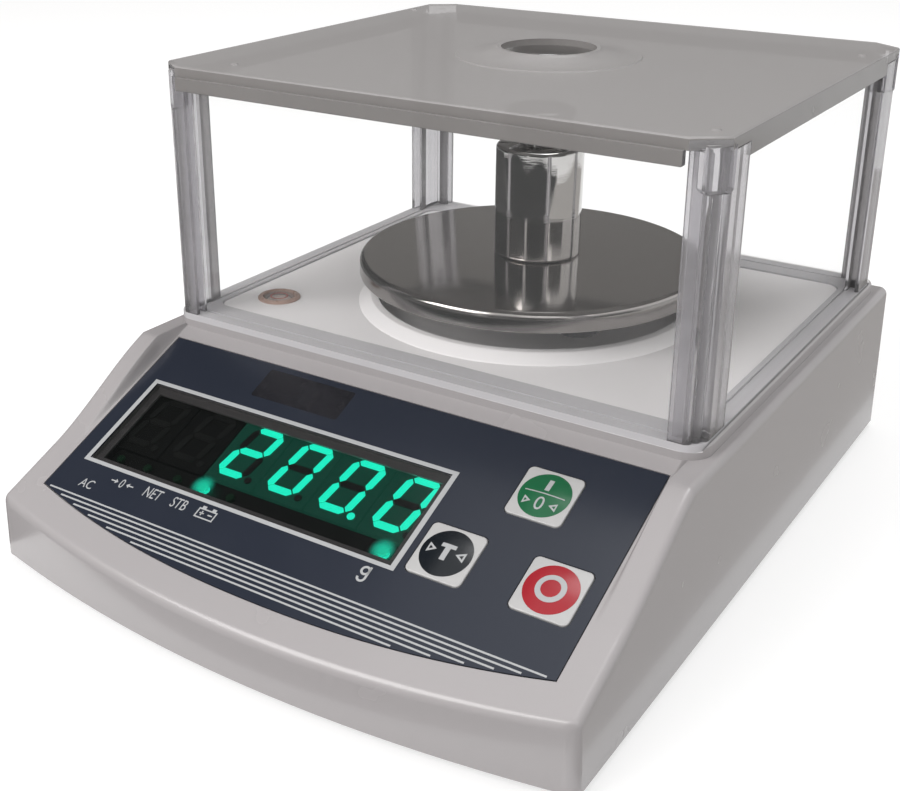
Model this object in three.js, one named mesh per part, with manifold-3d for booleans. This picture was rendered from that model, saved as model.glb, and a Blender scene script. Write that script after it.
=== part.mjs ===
// Laboratory balance with a clear draught shield, a round pan and a knob weight standing on it.
// Millimetres, +Z up, front towards -Y, origin on the bench at the middle of the footprint.
import * as THREE from 'three';
import { mergeVertices } from 'three/addons/utils/BufferGeometryUtils.js';
import Module from 'manifold-3d';

const wasm = await Module();
wasm.setup();

// Gaps shared by the whole model.
const clearance = 0.3;
const overrun = 1;
const mergeDistance = 0.0001;

// Housing: one moulded shell, bowed at the front, over a bottom tray.
const housingHalfWidth = 93;
const housingFront = -120;
const housingRear = 120;
const housingBottom = 2.5;
const ledgeHeight = 52.2;
const wall = 2.5;
const draft = 0.7;
const frontBow = 10.3;
const cornerRadius = 3;
const shoulderRadius = 2.4;
const frontEdgeRadius = 2;
const rearEdgeRadius = 3;

// Sloping console, measured along its own plane from the line where the keys start.
const consoleFootY = -102.1;
const consoleFootZ = 24.5;
const consoleSlope = THREE.MathUtils.degToRad(23.5);
const consoleSideMargin = 9.6;
const consoleHalfWidth = housingHalfWidth - consoleSideMargin;
const ridgeWallWidth = 1.2;
const ridgeStart = -89;
const ridgeEnd = -50.6;

// Raised plinth that carries the shield and the pan well.
const plinthSideMargin = 4.1;
const plinthHalfWidth = housingHalfWidth - plinthSideMargin;
const plinthFront = -39;
const plinthRear = 115.2;
const plinthTop = 55.7;
const plinthRadius = 7;
const plinthEdge = 0.8;
const plinthHollowMargin = 14;

// Pan well with its lip and the spill collar round the load post.
const panX = 0;
const panY = 33.8;
const wellRadius = 50;
const wellFloor = 50;
const lipFootRadius = 56;
const lipTopRadius = 52;
const lipTop = 58.5;
const collarRadius = 12;
const collarWall = 2;
const collarHeight = 4;

// Bottom tray.
const trayThickness = 2.5;
const trayRimWall = 2;
const trayRimHeight = 7;

// Screws that close the housing.
const housingScrewInset = 11;
const housingScrewX = housingHalfWidth - housingScrewInset;
const housingScrewFrontY = -62;
const housingScrewRearY = 62;
const screwShankRadius = 1.5;
const screwHeadRadius = 3;
const screwHeadHeight = 2;
const screwReach = 10.3;
const screwBossRadius = 4.2;
const screwSeatHeight = 4.5;
const screwSeatWall = 2;

// Levelling feet.
const footSideInset = 19;
const footFrontInset = 30;
const footRearInset = 20;
const footX = housingHalfWidth - footSideInset;
const footFrontY = housingFront + footFrontInset;
const footRearY = housingRear - footRearInset;
const footPadRadius = 8;
const footPadHeight = 2.3;
const footPinRadius = 2.5;
const footPinLength = 1.6;
const footKnobRadius = 9;
const footKnobHeight = 3.8;
const footKnurlDepth = 0.5;
const footStudRadius = 3;
const footStudLength = 6.6;
const footPocketMargin = 1.5;
const footPocketDepth = 4.5;
const footPocketWall = 2;
const footBossRadius = 6;
const footBossHeight = 4;

// Printed film on the console, with its display window.
const filmSideMargin = 0.9;
const filmHalfWidth = consoleHalfWidth - filmSideMargin;
const filmLength = 63.2;
const filmBulge = 9.9;
const filmBulgePower = 2.2;
const filmThickness = 0.5;
const windowSideMargin = 7;
const windowKeyGap = 3.9;
const windowLower = 13.2;
const windowUpper = 44;
const paneThickness = 1.6;
const paneLedge = 2;

// Keys, in console coordinates (across, up the slope).
const keySide = 16;
const keyCornerRadius = 1.6;
const keyEdge = 0.3;
const keyProud = 0.3;
const keyFlangeMargin = 1.5;
const keyFlangeThickness = 1.2;
const keyPlungerRadius = 2.5;
const keyPlungerLength = 1.9;
const keySideInset = 11.9;
const keySpacing = 29.2;
const keyZeroInset = 26.4;
const keyLowerRow = 21.2;
const keyUpperRow = 46.3;
const keyOffPlace = [filmHalfWidth - keySideInset, keyLowerRow];
const keyTarePlace = [filmHalfWidth - keySideInset - keySpacing, keyLowerRow];
const keyZeroPlace = [filmHalfWidth - keyZeroInset, keyUpperRow];
const windowLeft = -filmHalfWidth + windowSideMargin;
const windowRight = keyTarePlace[0] - keySide / 2 - windowKeyGap;
const windowWidth = windowRight - windowLeft;

// Display board with its digits, lamps and key switches.
const boardThickness = 1.6;
const displayBoardMargin = 6.4;
const displayBoardHalfWidth = consoleHalfWidth - displayBoardMargin;
const displayBoardLower = 3;
const displayBoardUpper = 55.5;
const digitFaceDepth = 3.3;
const digitModuleDepth = 5.9;
const digitModuleHeight = 24;
const digitModuleLower = 21.4;
const digitHeight = 18.8;
const digitTopShift = 3;
const digitCount = 6;
const digitEndOverlap = 0.96;
const digitInset = 1.4;
const digitModuleGap = 0.46;
const digitWidthShare = 0.6116;
const digitPitch = (windowWidth + digitEndOverlap) / digitCount;
const digitModuleWidth = digitPitch - digitModuleGap;
const digitWidth = digitPitch * digitWidthShare;
const firstDigitLeft = windowLeft + digitInset;
const segmentWidth = 2.4;
const segmentGap = 0.35;
const segmentProud = 0.3;
const pointRadius = 1.1;
const lampRadius = 1.3;
const lampRow = 17.7;
const lampPlaceShares = [0.058, 0.158, 0.268, 0.364, 0.455, 0.944];
const switchSide = 6;
const switchHeight = 2.6;
const switchButtonRadius = 1.6;
const switchButtonHeight = 0.4;
const displayPostRadius = 3.5;
const displayPostSideInset = 6;
const displayPostEndInset = 4.5;
const boardScrewRadius = 1.2;
const boardScrewHeadRadius = 2.4;
const boardScrewHeadHeight = 1.6;
const boardScrewReach = 5;

// Bubble level in the plinth.
const levelSideInset = 19.2;
const levelFrontInset = 27.9;
const levelHolderRadius = 6.9;
const levelHolderRise = 0.9;
const levelBodyRadius = 5.9;
const levelBodyDepth = 5;
const levelVialRadius = 4.9;
const levelVialWall = 0.8;
const levelVialRise = 0.5;
const levelBubbleRadius = 2.2;
const levelBubbleDepth = 0.8;

// Load cell and the metal that holds it.
const cellLength = 80;
const cellSide = 12.7;
const cellBoreRadius = 4.4;
const cellBoreSpacing = 20;
const cellSlotWidth = 3;
const cellScrewInset = 6;
const cellScrewSpacing = 12;
const cellBaseHeight = 4;
const cellBaseHalfWidth = 14;
const cellBaseLength = 26;
const cellScrewRadius = 2;
const cellScrewHeadRadius = 3.5;
const cellScrewHeadHeight = 2.4;
const cellScrewReach = 8;
const loadTravel = 0.3;
const stopGap = 0.5;
const stopScrewRadius = 2;
const stopHeadRadius = 3.4;
const stopHeadHeight = 1.8;
const stopBossRadius = 5;
const stopBossHeight = 1.5;
const bracketHalfWidth = 11;
const bracketSpacerLength = 22;
const bracketSpacerHeight = 5;
const bracketThickness = 4;
const postRadius = 7;

// Pan, its carrier and the rubber pads between them.
const panRadius = 55.5;
const panTop = 71.5;
const panSheet = 0.8;
const panRimHeight = 6;
const panEdgeRadius = 2.2;
const padRadius = 5;
const padHeight = 3;
const carrierHubRadius = 11;
const carrierHubLift = 1;
const carrierHubRoof = 2.7;
const carrierArmWidth = 7;
const carrierArmRootHeight = 7;
const carrierArmTipHeight = 4.4;
const carrierTipRadius = 6;
const carrierRimGap = 0.7;

// Knob weight on the pan.
const weightX = 0.6;
const weightY = 35.6;
const weightRadius = 14;
const weightBodyHeight = 34;
const weightEdge = 0.9;
const weightNeckRadius = 6.5;
const weightNeckHeight = 4;
const weightKnobRadius = 11.2;
const weightKnobHeight = 9;
const weightKnobEdge = 2.4;
const weightFootRecess = 0.5;
const weightFootRecessRadius = 10.5;

// Draught shield: base frame, fluted corner posts, clear panels, lid with a charging hole.
const shieldHalfWidth = 88;
const shieldFront = -38.9;
const shieldRear = 111.9;
const lidOverhang = 2;
const lidTop = 134.5;
const lidThickness = 3.2;
const lidSkirt = 7.5;
const lidSkirtWall = 1.2;
const lidSkirtSetback = 1;
const lidTongue = 13.5;
const lidTongueThickness = 2.2;
const lidEdge = 0.7;
const cornerCutWidth = 4;
const frontCornerCut = 7;
const rearCornerCut = 6;
const cornerLobe = 0.6;
const cornerLobeCount = 3;
const holeX = 2.6;
const holeY = 35;
const holeRadius = 14.5;
const holeRimHeight = 2.6;
const holeRimWidth = 1.4;
const holeFootRadius = 28;
const frameRebate = 1.5;
const frameThickness = 2.1;
const frameSideBand = 6.6;
const frameEndBand = 11.3;
const frameRadius = 5.5;
const postWidth = 9;
const postDepth = 16;
const postLeg = 4.5;
const panelThickness = 1.8;
const panelInset = 1.5;
const panelGrip = 3.5;

// Battery pack on its door, in the bottom tray.
const batteryY = 35;
const batterySideRoom = 43;
const batteryWidth = housingHalfWidth - batterySideRoom;
const batteryCellGap = 7.8;
const batteryLength = 94;
const batteryHeight = 24;
const batteryEdge = 2;
const doorMargin = 2.2;
const doorRibWall = 1.4;
const doorRibHeight = 5;
const doorGripWidth = 16;
const doorGripLength = 5;
const doorGripDepth = 1.2;

// Main board on posts in the tray, with what it carries.
const mainBoardSideMargin = 17;
const mainBoardCellGap = 9;
const mainBoardLeft = -housingHalfWidth + mainBoardSideMargin;
const mainBoardRight = -cellBaseHalfWidth - mainBoardCellGap;
const mainBoardFront = -14;
const mainBoardRear = 84;
const mainPostHeight = 7;
const mainPostRadius = 3.2;
const mainPostInset = 5;
const chipWidth = 14;
const chipLength = 14;
const chipHeight = 2.4;
const canRadius = 5;
const canHeight = 12;
const plugWidth = 8;
const plugLength = 20;
const plugHeight = 7;
const coolerWidth = 18;
const coolerLength = 10;
const coolerHeight = 14;
const coolerFin = 2;

// Power socket in the rear wall.
const socketSideInset = 43;
const socketX = -housingHalfWidth + socketSideInset;
const socketZ = 21;
const socketFlangeRadius = 7;
const socketFlangeThickness = 1.1;
const socketPocketDepth = 1.4;
const socketBarrelRadius = 5.4;
const socketLength = 14;
const socketNutRadius = 7.5;
const socketNutLength = 3;
const socketBoreRadius = 2.9;
const socketBoreDepth = 9;
const socketPinRadius = 1;

// Places and proportions worked out by hand, as shares of the sizes they follow.
const floorColumnShares = [0, 1 / 2, 1];
const chipPlaceShares = [[0.35, 0.3], [0.68, 0.62]];
const canPlaceShares = [[0.22, 0.62], [0.22, 0.78]];
const plugPlaceShares = [0.8, 0.3];
const coolerPlaceShares = [0.55, 0.86];

// How finely round and bent shapes are cut.
const cornerSteps = 3;
const shoulderSteps = 2;
const ridgeSteps = 4;
const arcSteps = 3;
const filmSteps = 12;
const bigSides = 36;
const roundSides = 16;
const smallSides = 8;
const knurlSides = 24;

// Heights and places that follow from the sizes above.
const trayTop = housingBottom + trayThickness;
const wellUnderside = wellFloor - wall;
const plinthUnderside = plinthTop - wall;
const seatTop = housingBottom + screwSeatHeight;
const upperBossBottom = seatTop + screwSeatWall + clearance;
const consoleTopY = consoleFootY + (ledgeHeight - consoleFootZ) / Math.tan(consoleSlope);
const boardTopDepth = digitFaceDepth + digitModuleDepth + clearance;
const boardBottomDepth = boardTopDepth + boardThickness;
const cellBottom = trayTop + cellBaseHeight;
const cellTop = cellBottom + cellSide;
const cellFront = panY - cellLength / 2;
const cellRear = panY + cellLength / 2;
const bracketBottom = cellTop + loadTravel + clearance / 2;
const bracketPlate = bracketBottom + bracketSpacerHeight;
const panUnderside = panTop - panSheet;
const carrierTop = panUnderside - padHeight;
const carrierBottom = wellFloor + collarHeight + carrierHubLift;
const loadPostTop = carrierTop - carrierHubRoof - clearance;
const carrierReach = panRadius - panSheet - carrierRimGap - carrierTipRadius;
const weightTop = panTop + weightBodyHeight + weightNeckHeight + weightKnobHeight;
const lidFront = shieldFront - lidOverhang;
const lidRear = shieldRear + lidOverhang;
const tongueBottom = lidTop - lidTongue;
const levelX = -shieldHalfWidth + levelSideInset;
const levelY = shieldFront + levelFrontInset;
const frameBottom = plinthTop - frameRebate;
const frameTop = frameBottom + frameThickness;
const lidUnderside = lidTop - lidThickness;
const shieldTop = lidUnderside - clearance;
const footPocketRadius = footKnobRadius + footPocketMargin;
const footPocketTop = housingBottom + footPocketDepth;
const footBossTop = footPocketTop + footPocketWall + footBossHeight;
const knobBottom = footPadHeight + clearance;
const doorHalfWidth = batteryWidth / 2 + doorMargin;
const doorHalfLength = batteryLength / 2 + doorMargin;
const batteryX = panX + cellBaseHalfWidth + batteryCellGap + doorHalfWidth;
const batteryBottom = trayTop;
const mainBoardBottom = trayTop + mainPostHeight;
const mainBoardTop = mainBoardBottom + boardThickness;
const stopY = cellFront + cellScrewInset;
const cellHeadTop = housingBottom + cellScrewHeadHeight + clearance;
const filmSeatDepth = filmThickness + clearance;
const paneSeatDepth = paneThickness + clearance;

// Where repeated pieces stand.
const keyPlaces = [keyZeroPlace, keyTarePlace, keyOffPlace];
const lampPlaces = lampPlaceShares.map((share) => windowLeft + windowWidth * share);
const displayPostPlaces = [-1, 1].flatMap((side) => [
  [side * (displayBoardHalfWidth - displayPostSideInset), displayBoardLower + displayPostEndInset],
  [side * (displayBoardHalfWidth - displayPostSideInset), displayBoardUpper - displayPostEndInset],
]);
const housingScrewPlaces = {
  front_left: [-housingScrewX, housingScrewFrontY],
  front_right: [housingScrewX, housingScrewFrontY],
  rear_left: [-housingScrewX, housingScrewRearY],
  rear_right: [housingScrewX, housingScrewRearY],
};
const footPlaces = {
  front_left: [-footX, footFrontY],
  front_right: [footX, footFrontY],
  rear_left: [-footX, footRearY],
  rear_right: [footX, footRearY],
};
const mainPostPlaces = [
  [mainBoardLeft + mainPostInset, mainBoardFront + mainPostInset],
  [mainBoardRight - mainPostInset, mainBoardFront + mainPostInset],
  [mainBoardLeft + mainPostInset, mainBoardRear - mainPostInset],
  [mainBoardRight - mainPostInset, mainBoardRear - mainPostInset],
];
const cellBaseScrewPlaces = [
  [panX, cellRear - cellScrewInset],
  [panX, cellRear - cellScrewInset - cellScrewSpacing],
];
const bracketScrewPlaces = [
  [panX, cellFront + cellScrewInset],
  [panX, cellFront + cellScrewInset + cellScrewSpacing],
];
const armTurns = [0, 1, 2, 3].map((k) => (k + 1 / 2) * Math.PI / 2);
const padPlaces = armTurns.map((turn) => [
  panX - carrierReach * Math.sin(turn),
  panY + carrierReach * Math.cos(turn),
]);

// Solids: every closed surface becomes a manifold with its faces pointing out.
function solid(geometry) {
  const bare = geometry.clone();
  bare.deleteAttribute('normal');
  bare.deleteAttribute('uv');
  const merged = mergeVertices(bare, mergeDistance);
  const place = merged.attributes.position;
  const corners = [];
  for (let i = 0; i < merged.index.count; i += 3) {
    const [a, b, c] = [0, 1, 2].map((k) => merged.index.getX(i + k));
    if (a !== b && b !== c && c !== a) corners.push(a, b, c);
  }
  const [p, q, r] = [new THREE.Vector3(), new THREE.Vector3(), new THREE.Vector3()];
  let volume = 0;
  for (let i = 0; i < corners.length; i += 3) {
    p.fromBufferAttribute(place, corners[i]);
    q.fromBufferAttribute(place, corners[i + 1]);
    r.fromBufferAttribute(place, corners[i + 2]);
    volume += p.dot(q.cross(r));
  }
  if (volume < 0) corners.reverse();
  return new wasm.Manifold(new wasm.Mesh({
    numProp: 3,
    vertProperties: new Float32Array(place.array),
    triVerts: new Uint32Array(corners),
  }));
}

function geometryOf(body) {
  const mesh = body.getMesh();
  const geometry = new THREE.BufferGeometry();
  geometry.setAttribute('position', new THREE.BufferAttribute(Float32Array.from(mesh.vertProperties), 3));
  geometry.setIndex(new THREE.BufferAttribute(Uint32Array.from(mesh.triVerts), 1));
  const flat = geometry.toNonIndexed();
  flat.computeVertexNormals();
  return flat;
}

function joined(bodies) {
  return bodies.reduce((whole, body) => whole.add(body));
}

function cutAway(body, tools) {
  return tools.reduce((rest, tool) => rest.subtract(tool), body);
}

// Box between two corners.
function block(x0, x1, y0, y1, z0, z1) {
  const geometry = new THREE.BoxGeometry(x1 - x0, y1 - y0, z1 - z0);
  geometry.translate((x0 + x1) / 2, (y0 + y1) / 2, (z0 + z1) / 2);
  return solid(geometry);
}

// Flat outline with holes, raised from z0 to z1.
function prism(points, z0, z1, holes = []) {
  const shape = new THREE.Shape(points);
  for (const hole of holes) shape.holes.push(new THREE.Path(hole));
  const geometry = new THREE.ExtrudeGeometry(shape, { depth: z1 - z0, bevelEnabled: false });
  geometry.translate(0, 0, z0);
  return solid(geometry);
}

// Side view in (y, z), carried across from x0 to x1.
function sideProfile(points, x0, x1, holes = []) {
  const shape = new THREE.Shape(points);
  for (const hole of holes) shape.holes.push(new THREE.Path(hole));
  const geometry = new THREE.ExtrudeGeometry(shape, { depth: x1 - x0, bevelEnabled: false });
  geometry.translate(0, 0, x0);
  geometry.applyMatrix4(new THREE.Matrix4().makeBasis(
    new THREE.Vector3(0, 1, 0),
    new THREE.Vector3(0, 0, 1),
    new THREE.Vector3(1, 0, 0),
  ));
  return solid(geometry);
}

function rod(radius, z0, z1, x, y, sides = smallSides) {
  const geometry = new THREE.CylinderGeometry(radius, radius, z1 - z0, sides);
  geometry.rotateX(Math.PI / 2);
  geometry.translate(x, y, (z0 + z1) / 2);
  return solid(geometry);
}

// Profile of [radius, height] pairs turned about an upright axis.
function turned(profile, x, y, sides = roundSides) {
  const points = profile.map(([radius, height]) => new THREE.Vector2(radius, height));
  const geometry = new THREE.LatheGeometry(points, sides);
  geometry.rotateX(Math.PI / 2);
  geometry.translate(x, y, 0);
  return solid(geometry);
}

// Skin over a pile of level rings, closed at both ends.
function stacked(rings) {
  const count = rings[0].length;
  const positions = rings.flat().flatMap((point) => [point.x, point.y, point.z]);
  const index = [];
  for (let i = 0; i + 1 < rings.length; i += 1) {
    for (let j = 0; j < count; j += 1) {
      const next = (j + 1) % count;
      const low = i * count;
      const high = low + count;
      index.push(low + j, low + next, high + next, low + j, high + next, high + j);
    }
  }
  const last = (rings.length - 1) * count;
  for (const [a, b, c] of THREE.ShapeUtils.triangulateShape(rings[0], [])) index.push(c, b, a);
  for (const [a, b, c] of THREE.ShapeUtils.triangulateShape(rings.at(-1), [])) {
    index.push(last + a, last + b, last + c);
  }
  const geometry = new THREE.BufferGeometry();
  geometry.setAttribute('position', new THREE.Float32BufferAttribute(positions, 3));
  geometry.setIndex(index);
  return solid(geometry);
}

// Outline drawn at several [height, inset] levels, for softened edges.
function levels(outlineAt, steps) {
  return stacked(steps.map(([height, inset]) => (
    outlineAt(inset).map((point) => new THREE.Vector3(point.x, point.y, height))
  )));
}

// Closed body between an upper and a lower grid of points with the same rows and columns.
function between(top, bottom) {
  const rows = top.length;
  const columns = top[0].length;
  const positions = [top, bottom].flat(2).flatMap((point) => [point.x, point.y, point.z]);
  const upper = (i, j) => i * columns + j;
  const lower = (i, j) => rows * columns + i * columns + j;
  const index = [];
  const quad = (a, b, c, d) => index.push(a, b, c, a, c, d);
  for (let i = 0; i + 1 < rows; i += 1) {
    for (let j = 0; j + 1 < columns; j += 1) {
      quad(upper(i, j), upper(i, j + 1), upper(i + 1, j + 1), upper(i + 1, j));
      quad(lower(i, j), lower(i + 1, j), lower(i + 1, j + 1), lower(i, j + 1));
    }
    const right = columns - 1;
    quad(upper(i, 0), upper(i + 1, 0), lower(i + 1, 0), lower(i, 0));
    quad(upper(i, right), lower(i, right), lower(i + 1, right), upper(i + 1, right));
  }
  const rear = rows - 1;
  for (let j = 0; j + 1 < columns; j += 1) {
    quad(upper(0, j), lower(0, j), lower(0, j + 1), upper(0, j + 1));
    quad(upper(rear, j), upper(rear, j + 1), lower(rear, j + 1), lower(rear, j));
  }
  const geometry = new THREE.BufferGeometry();
  geometry.setAttribute('position', new THREE.Float32BufferAttribute(positions, 3));
  geometry.setIndex(index);
  return solid(geometry);
}

// Rectangle with rounded corners, drawn inside itself by an inset.
function roundedRectangle(x0, x1, y0, y1, radius, inset = 0) {
  const points = [];
  const corners = [[x1, y0, -1], [x1, y1, 0], [x0, y1, 1], [x0, y0, 2]];
  for (const [x, y, quarter] of corners) {
    const centreX = x + (x === x1 ? -radius : radius);
    const centreY = y + (y === y1 ? -radius : radius);
    for (let k = 0; k <= arcSteps; k += 1) {
      const turn = (quarter + k / arcSteps) * Math.PI / 2;
      points.push(new THREE.Vector2(
        centreX + (radius - inset) * Math.cos(turn),
        centreY + (radius - inset) * Math.sin(turn),
      ));
    }
  }
  return points;
}

// Heights of the housing's top along its length.
function floorAt(y) {
  return Math.min(consoleFootZ + (y - consoleFootY) * Math.tan(consoleSlope), ledgeHeight);
}

function crestAt(y) {
  const rise = ledgeHeight - floorAt(ridgeEnd);
  const share = THREE.MathUtils.smoothstep(y, ridgeStart, ridgeEnd);
  return Math.min(floorAt(y) + rise * share, ledgeHeight);
}

function edgeDrop(distance, radius) {
  const short = Math.max(radius - distance, 0);
  return radius - Math.sqrt(radius * radius - short * short);
}

// Cross-sections of the housing from front to rear, closing in round each corner.
function housingStations(inset) {
  const front = housingFront + inset;
  const rear = housingRear - inset;
  const radius = Math.max(cornerRadius - inset, clearance);
  const half = housingHalfWidth - inset;
  const frontRadius = Math.max(frontEdgeRadius - inset, clearance);
  const rearRadius = Math.max(rearEdgeRadius - inset, clearance);
  const turns = Array.from({ length: cornerSteps + 1 }, (_, k) => (k / cornerSteps) * Math.PI / 2);
  const around = turns.map((turn) => ({
    run: radius * (1 - Math.cos(turn)),
    half: half - radius * (1 - Math.sin(turn)),
  }));
  const ridges = Array.from({ length: ridgeSteps + 1 }, (_, k) => (
    THREE.MathUtils.lerp(ridgeStart, ridgeEnd, k / ridgeSteps)
  ));
  return [
    ...around.map(({ run, half: width }) => (
      { y: front + run, half: width, drop: edgeDrop(run, frontRadius) }
    )),
    ...[...ridges, consoleTopY].map((y) => ({ y, half, drop: 0 })),
    ...around.reverse().map(({ run, half: width }) => (
      { y: rear - run, half: width, drop: edgeDrop(run, rearRadius) }
    )),
  ];
}

// Upper and lower point grids of the housing, drawn inside its outer face by an inset.
function housingGrids(inset, bottomZ, ridged) {
  const top = [];
  const bottom = [];
  const shoulder = Math.max(shoulderRadius - inset, clearance);
  for (const { y, half, drop } of housingStations(inset)) {
    const upperHalf = half - draft;
    const flat = upperHalf - shoulder;
    const ridge = Math.min(consoleHalfWidth + ridgeWallWidth, flat - ridgeWallWidth);
    const inner = Math.min(consoleHalfWidth, ridge - ridgeWallWidth);
    const columns = floorColumnShares.map((share) => ({ x: inner * share, onRidge: false, fall: 0 }));
    columns.push({ x: ridge, onRidge: ridged, fall: 0 });
    const bends = ridged ? shoulderSteps : 1;
    for (let k = 0; k <= bends; k += 1) {
      const turn = (k / bends) * Math.PI / 2;
      columns.push({
        x: flat + shoulder * Math.sin(turn),
        onRidge: ridged,
        fall: shoulder * (1 - Math.cos(turn)),
      });
    }
    const row = [...columns.slice(1).reverse().map((column) => ({ ...column, x: -column.x })), ...columns];
    const bowShare = THREE.MathUtils.clamp((ridgeStart - y) / (ridgeStart - housingFront), 0, 1);
    const bowed = (x) => y + frontBow * bowShare * (x / housingHalfWidth) ** 2;
    top.push(row.map(({ x, onRidge, fall }) => {
      const place = bowed(x);
      const height = onRidge ? crestAt(place) : floorAt(place);
      return new THREE.Vector3(x, place, height - inset / Math.cos(consoleSlope) - drop - fall);
    }));
    bottom.push(row.map(({ x }, j) => {
      const outermost = j === 0 || j === row.length - 1;
      return new THREE.Vector3(outermost ? Math.sign(x) * half : x, bowed(x), bottomZ);
    }));
  }
  return { top, bottom };
}

// Plan outline of the housing, drawn inside its outer face by an inset.
function housingOutline(inset) {
  const { bottom } = housingGrids(inset, 0, false);
  const middle = bottom.slice(1, -1);
  return [
    ...bottom[0],
    ...middle.map((row) => row.at(-1)),
    ...bottom.at(-1).slice().reverse(),
    ...middle.map((row) => row[0]).reverse(),
  ].map((point) => new THREE.Vector2(point.x, point.y));
}

// Lid outline: a rectangle with its corners cut off, longer along the sides than across.
function lidOutline(inset) {
  const x = shieldHalfWidth - inset;
  const y0 = lidFront + inset;
  const y1 = lidRear - inset;
  return [
    new THREE.Vector2(x - cornerCutWidth, y0),
    new THREE.Vector2(x, y0 + frontCornerCut),
    new THREE.Vector2(x, y1 - rearCornerCut),
    new THREE.Vector2(x - cornerCutWidth, y1),
    new THREE.Vector2(-x + cornerCutWidth, y1),
    new THREE.Vector2(-x, y1 - rearCornerCut),
    new THREE.Vector2(-x, y0 + frontCornerCut),
    new THREE.Vector2(-x + cornerCutWidth, y0),
  ];
}

// Plan of the lid's tongue behind one corner cut, grown on every side by a margin.
function tongueOutline(sideX, sideY, margin) {
  const end = sideY < 0 ? lidFront : lidRear;
  const cut = sideY < 0 ? frontCornerCut : rearCornerCut;
  const across = new THREE.Vector2(sideX * (shieldHalfWidth - cornerCutWidth), end);
  const along = new THREE.Vector2(sideX * shieldHalfWidth, end - sideY * cut);
  const run = along.clone().sub(across).normalize();
  const outward = new THREE.Vector2(sideX * Math.abs(run.y), sideY * Math.abs(run.x));
  across.addScaledVector(run, -margin);
  along.addScaledVector(run, margin);
  return [
    across.clone().addScaledVector(outward, margin),
    along.clone().addScaledVector(outward, margin),
    along.clone().addScaledVector(outward, -lidTongueThickness - margin),
    across.clone().addScaledVector(outward, -lidTongueThickness - margin),
  ];
}

// Points from one end of a corner cut to the other, bulging out in lobes.
function flutedCut(from, to, outward) {
  const steps = cornerLobeCount * arcSteps;
  return Array.from({ length: steps + 1 }, (_, k) => {
    const share = k / steps;
    const bulge = cornerLobe * Math.abs(Math.sin(cornerLobeCount * Math.PI * share));
    return from.clone().lerp(to, share).addScaledVector(outward, bulge);
  });
}

// The console's own frame: x across, y up the slope, z out of the face.
const consoleFrame = new THREE.Group();
consoleFrame.position.set(0, consoleFootY, consoleFootZ);
consoleFrame.rotation.x = consoleSlope;
consoleFrame.updateMatrixWorld(true);

function onConsole(body) {
  return solid(geometryOf(body).applyMatrix4(consoleFrame.matrixWorld));
}

// Film outline: straight sides and top, bulging bottom edge.
function filmOutline(margin) {
  const half = filmHalfWidth + margin;
  const bottomEdge = Array.from({ length: filmSteps + 1 }, (_, k) => {
    const share = (2 * k) / filmSteps - 1;
    const bulge = filmBulge * (1 - Math.abs(share) ** filmBulgePower);
    return new THREE.Vector2(half * share, -bulge - margin);
  });
  return [
    ...bottomEdge,
    new THREE.Vector2(half, filmLength + margin),
    new THREE.Vector2(-half, filmLength + margin),
  ];
}

function windowOutline(margin) {
  return [
    new THREE.Vector2(windowLeft - margin, windowLower - margin),
    new THREE.Vector2(windowRight + margin, windowLower - margin),
    new THREE.Vector2(windowRight + margin, windowUpper + margin),
    new THREE.Vector2(windowLeft - margin, windowUpper + margin),
  ];
}

function keyOutline([u, v], margin) {
  const half = keySide / 2 + margin;
  return roundedRectangle(u - half, u + half, v - half, v + half, keyCornerRadius + margin);
}

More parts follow.
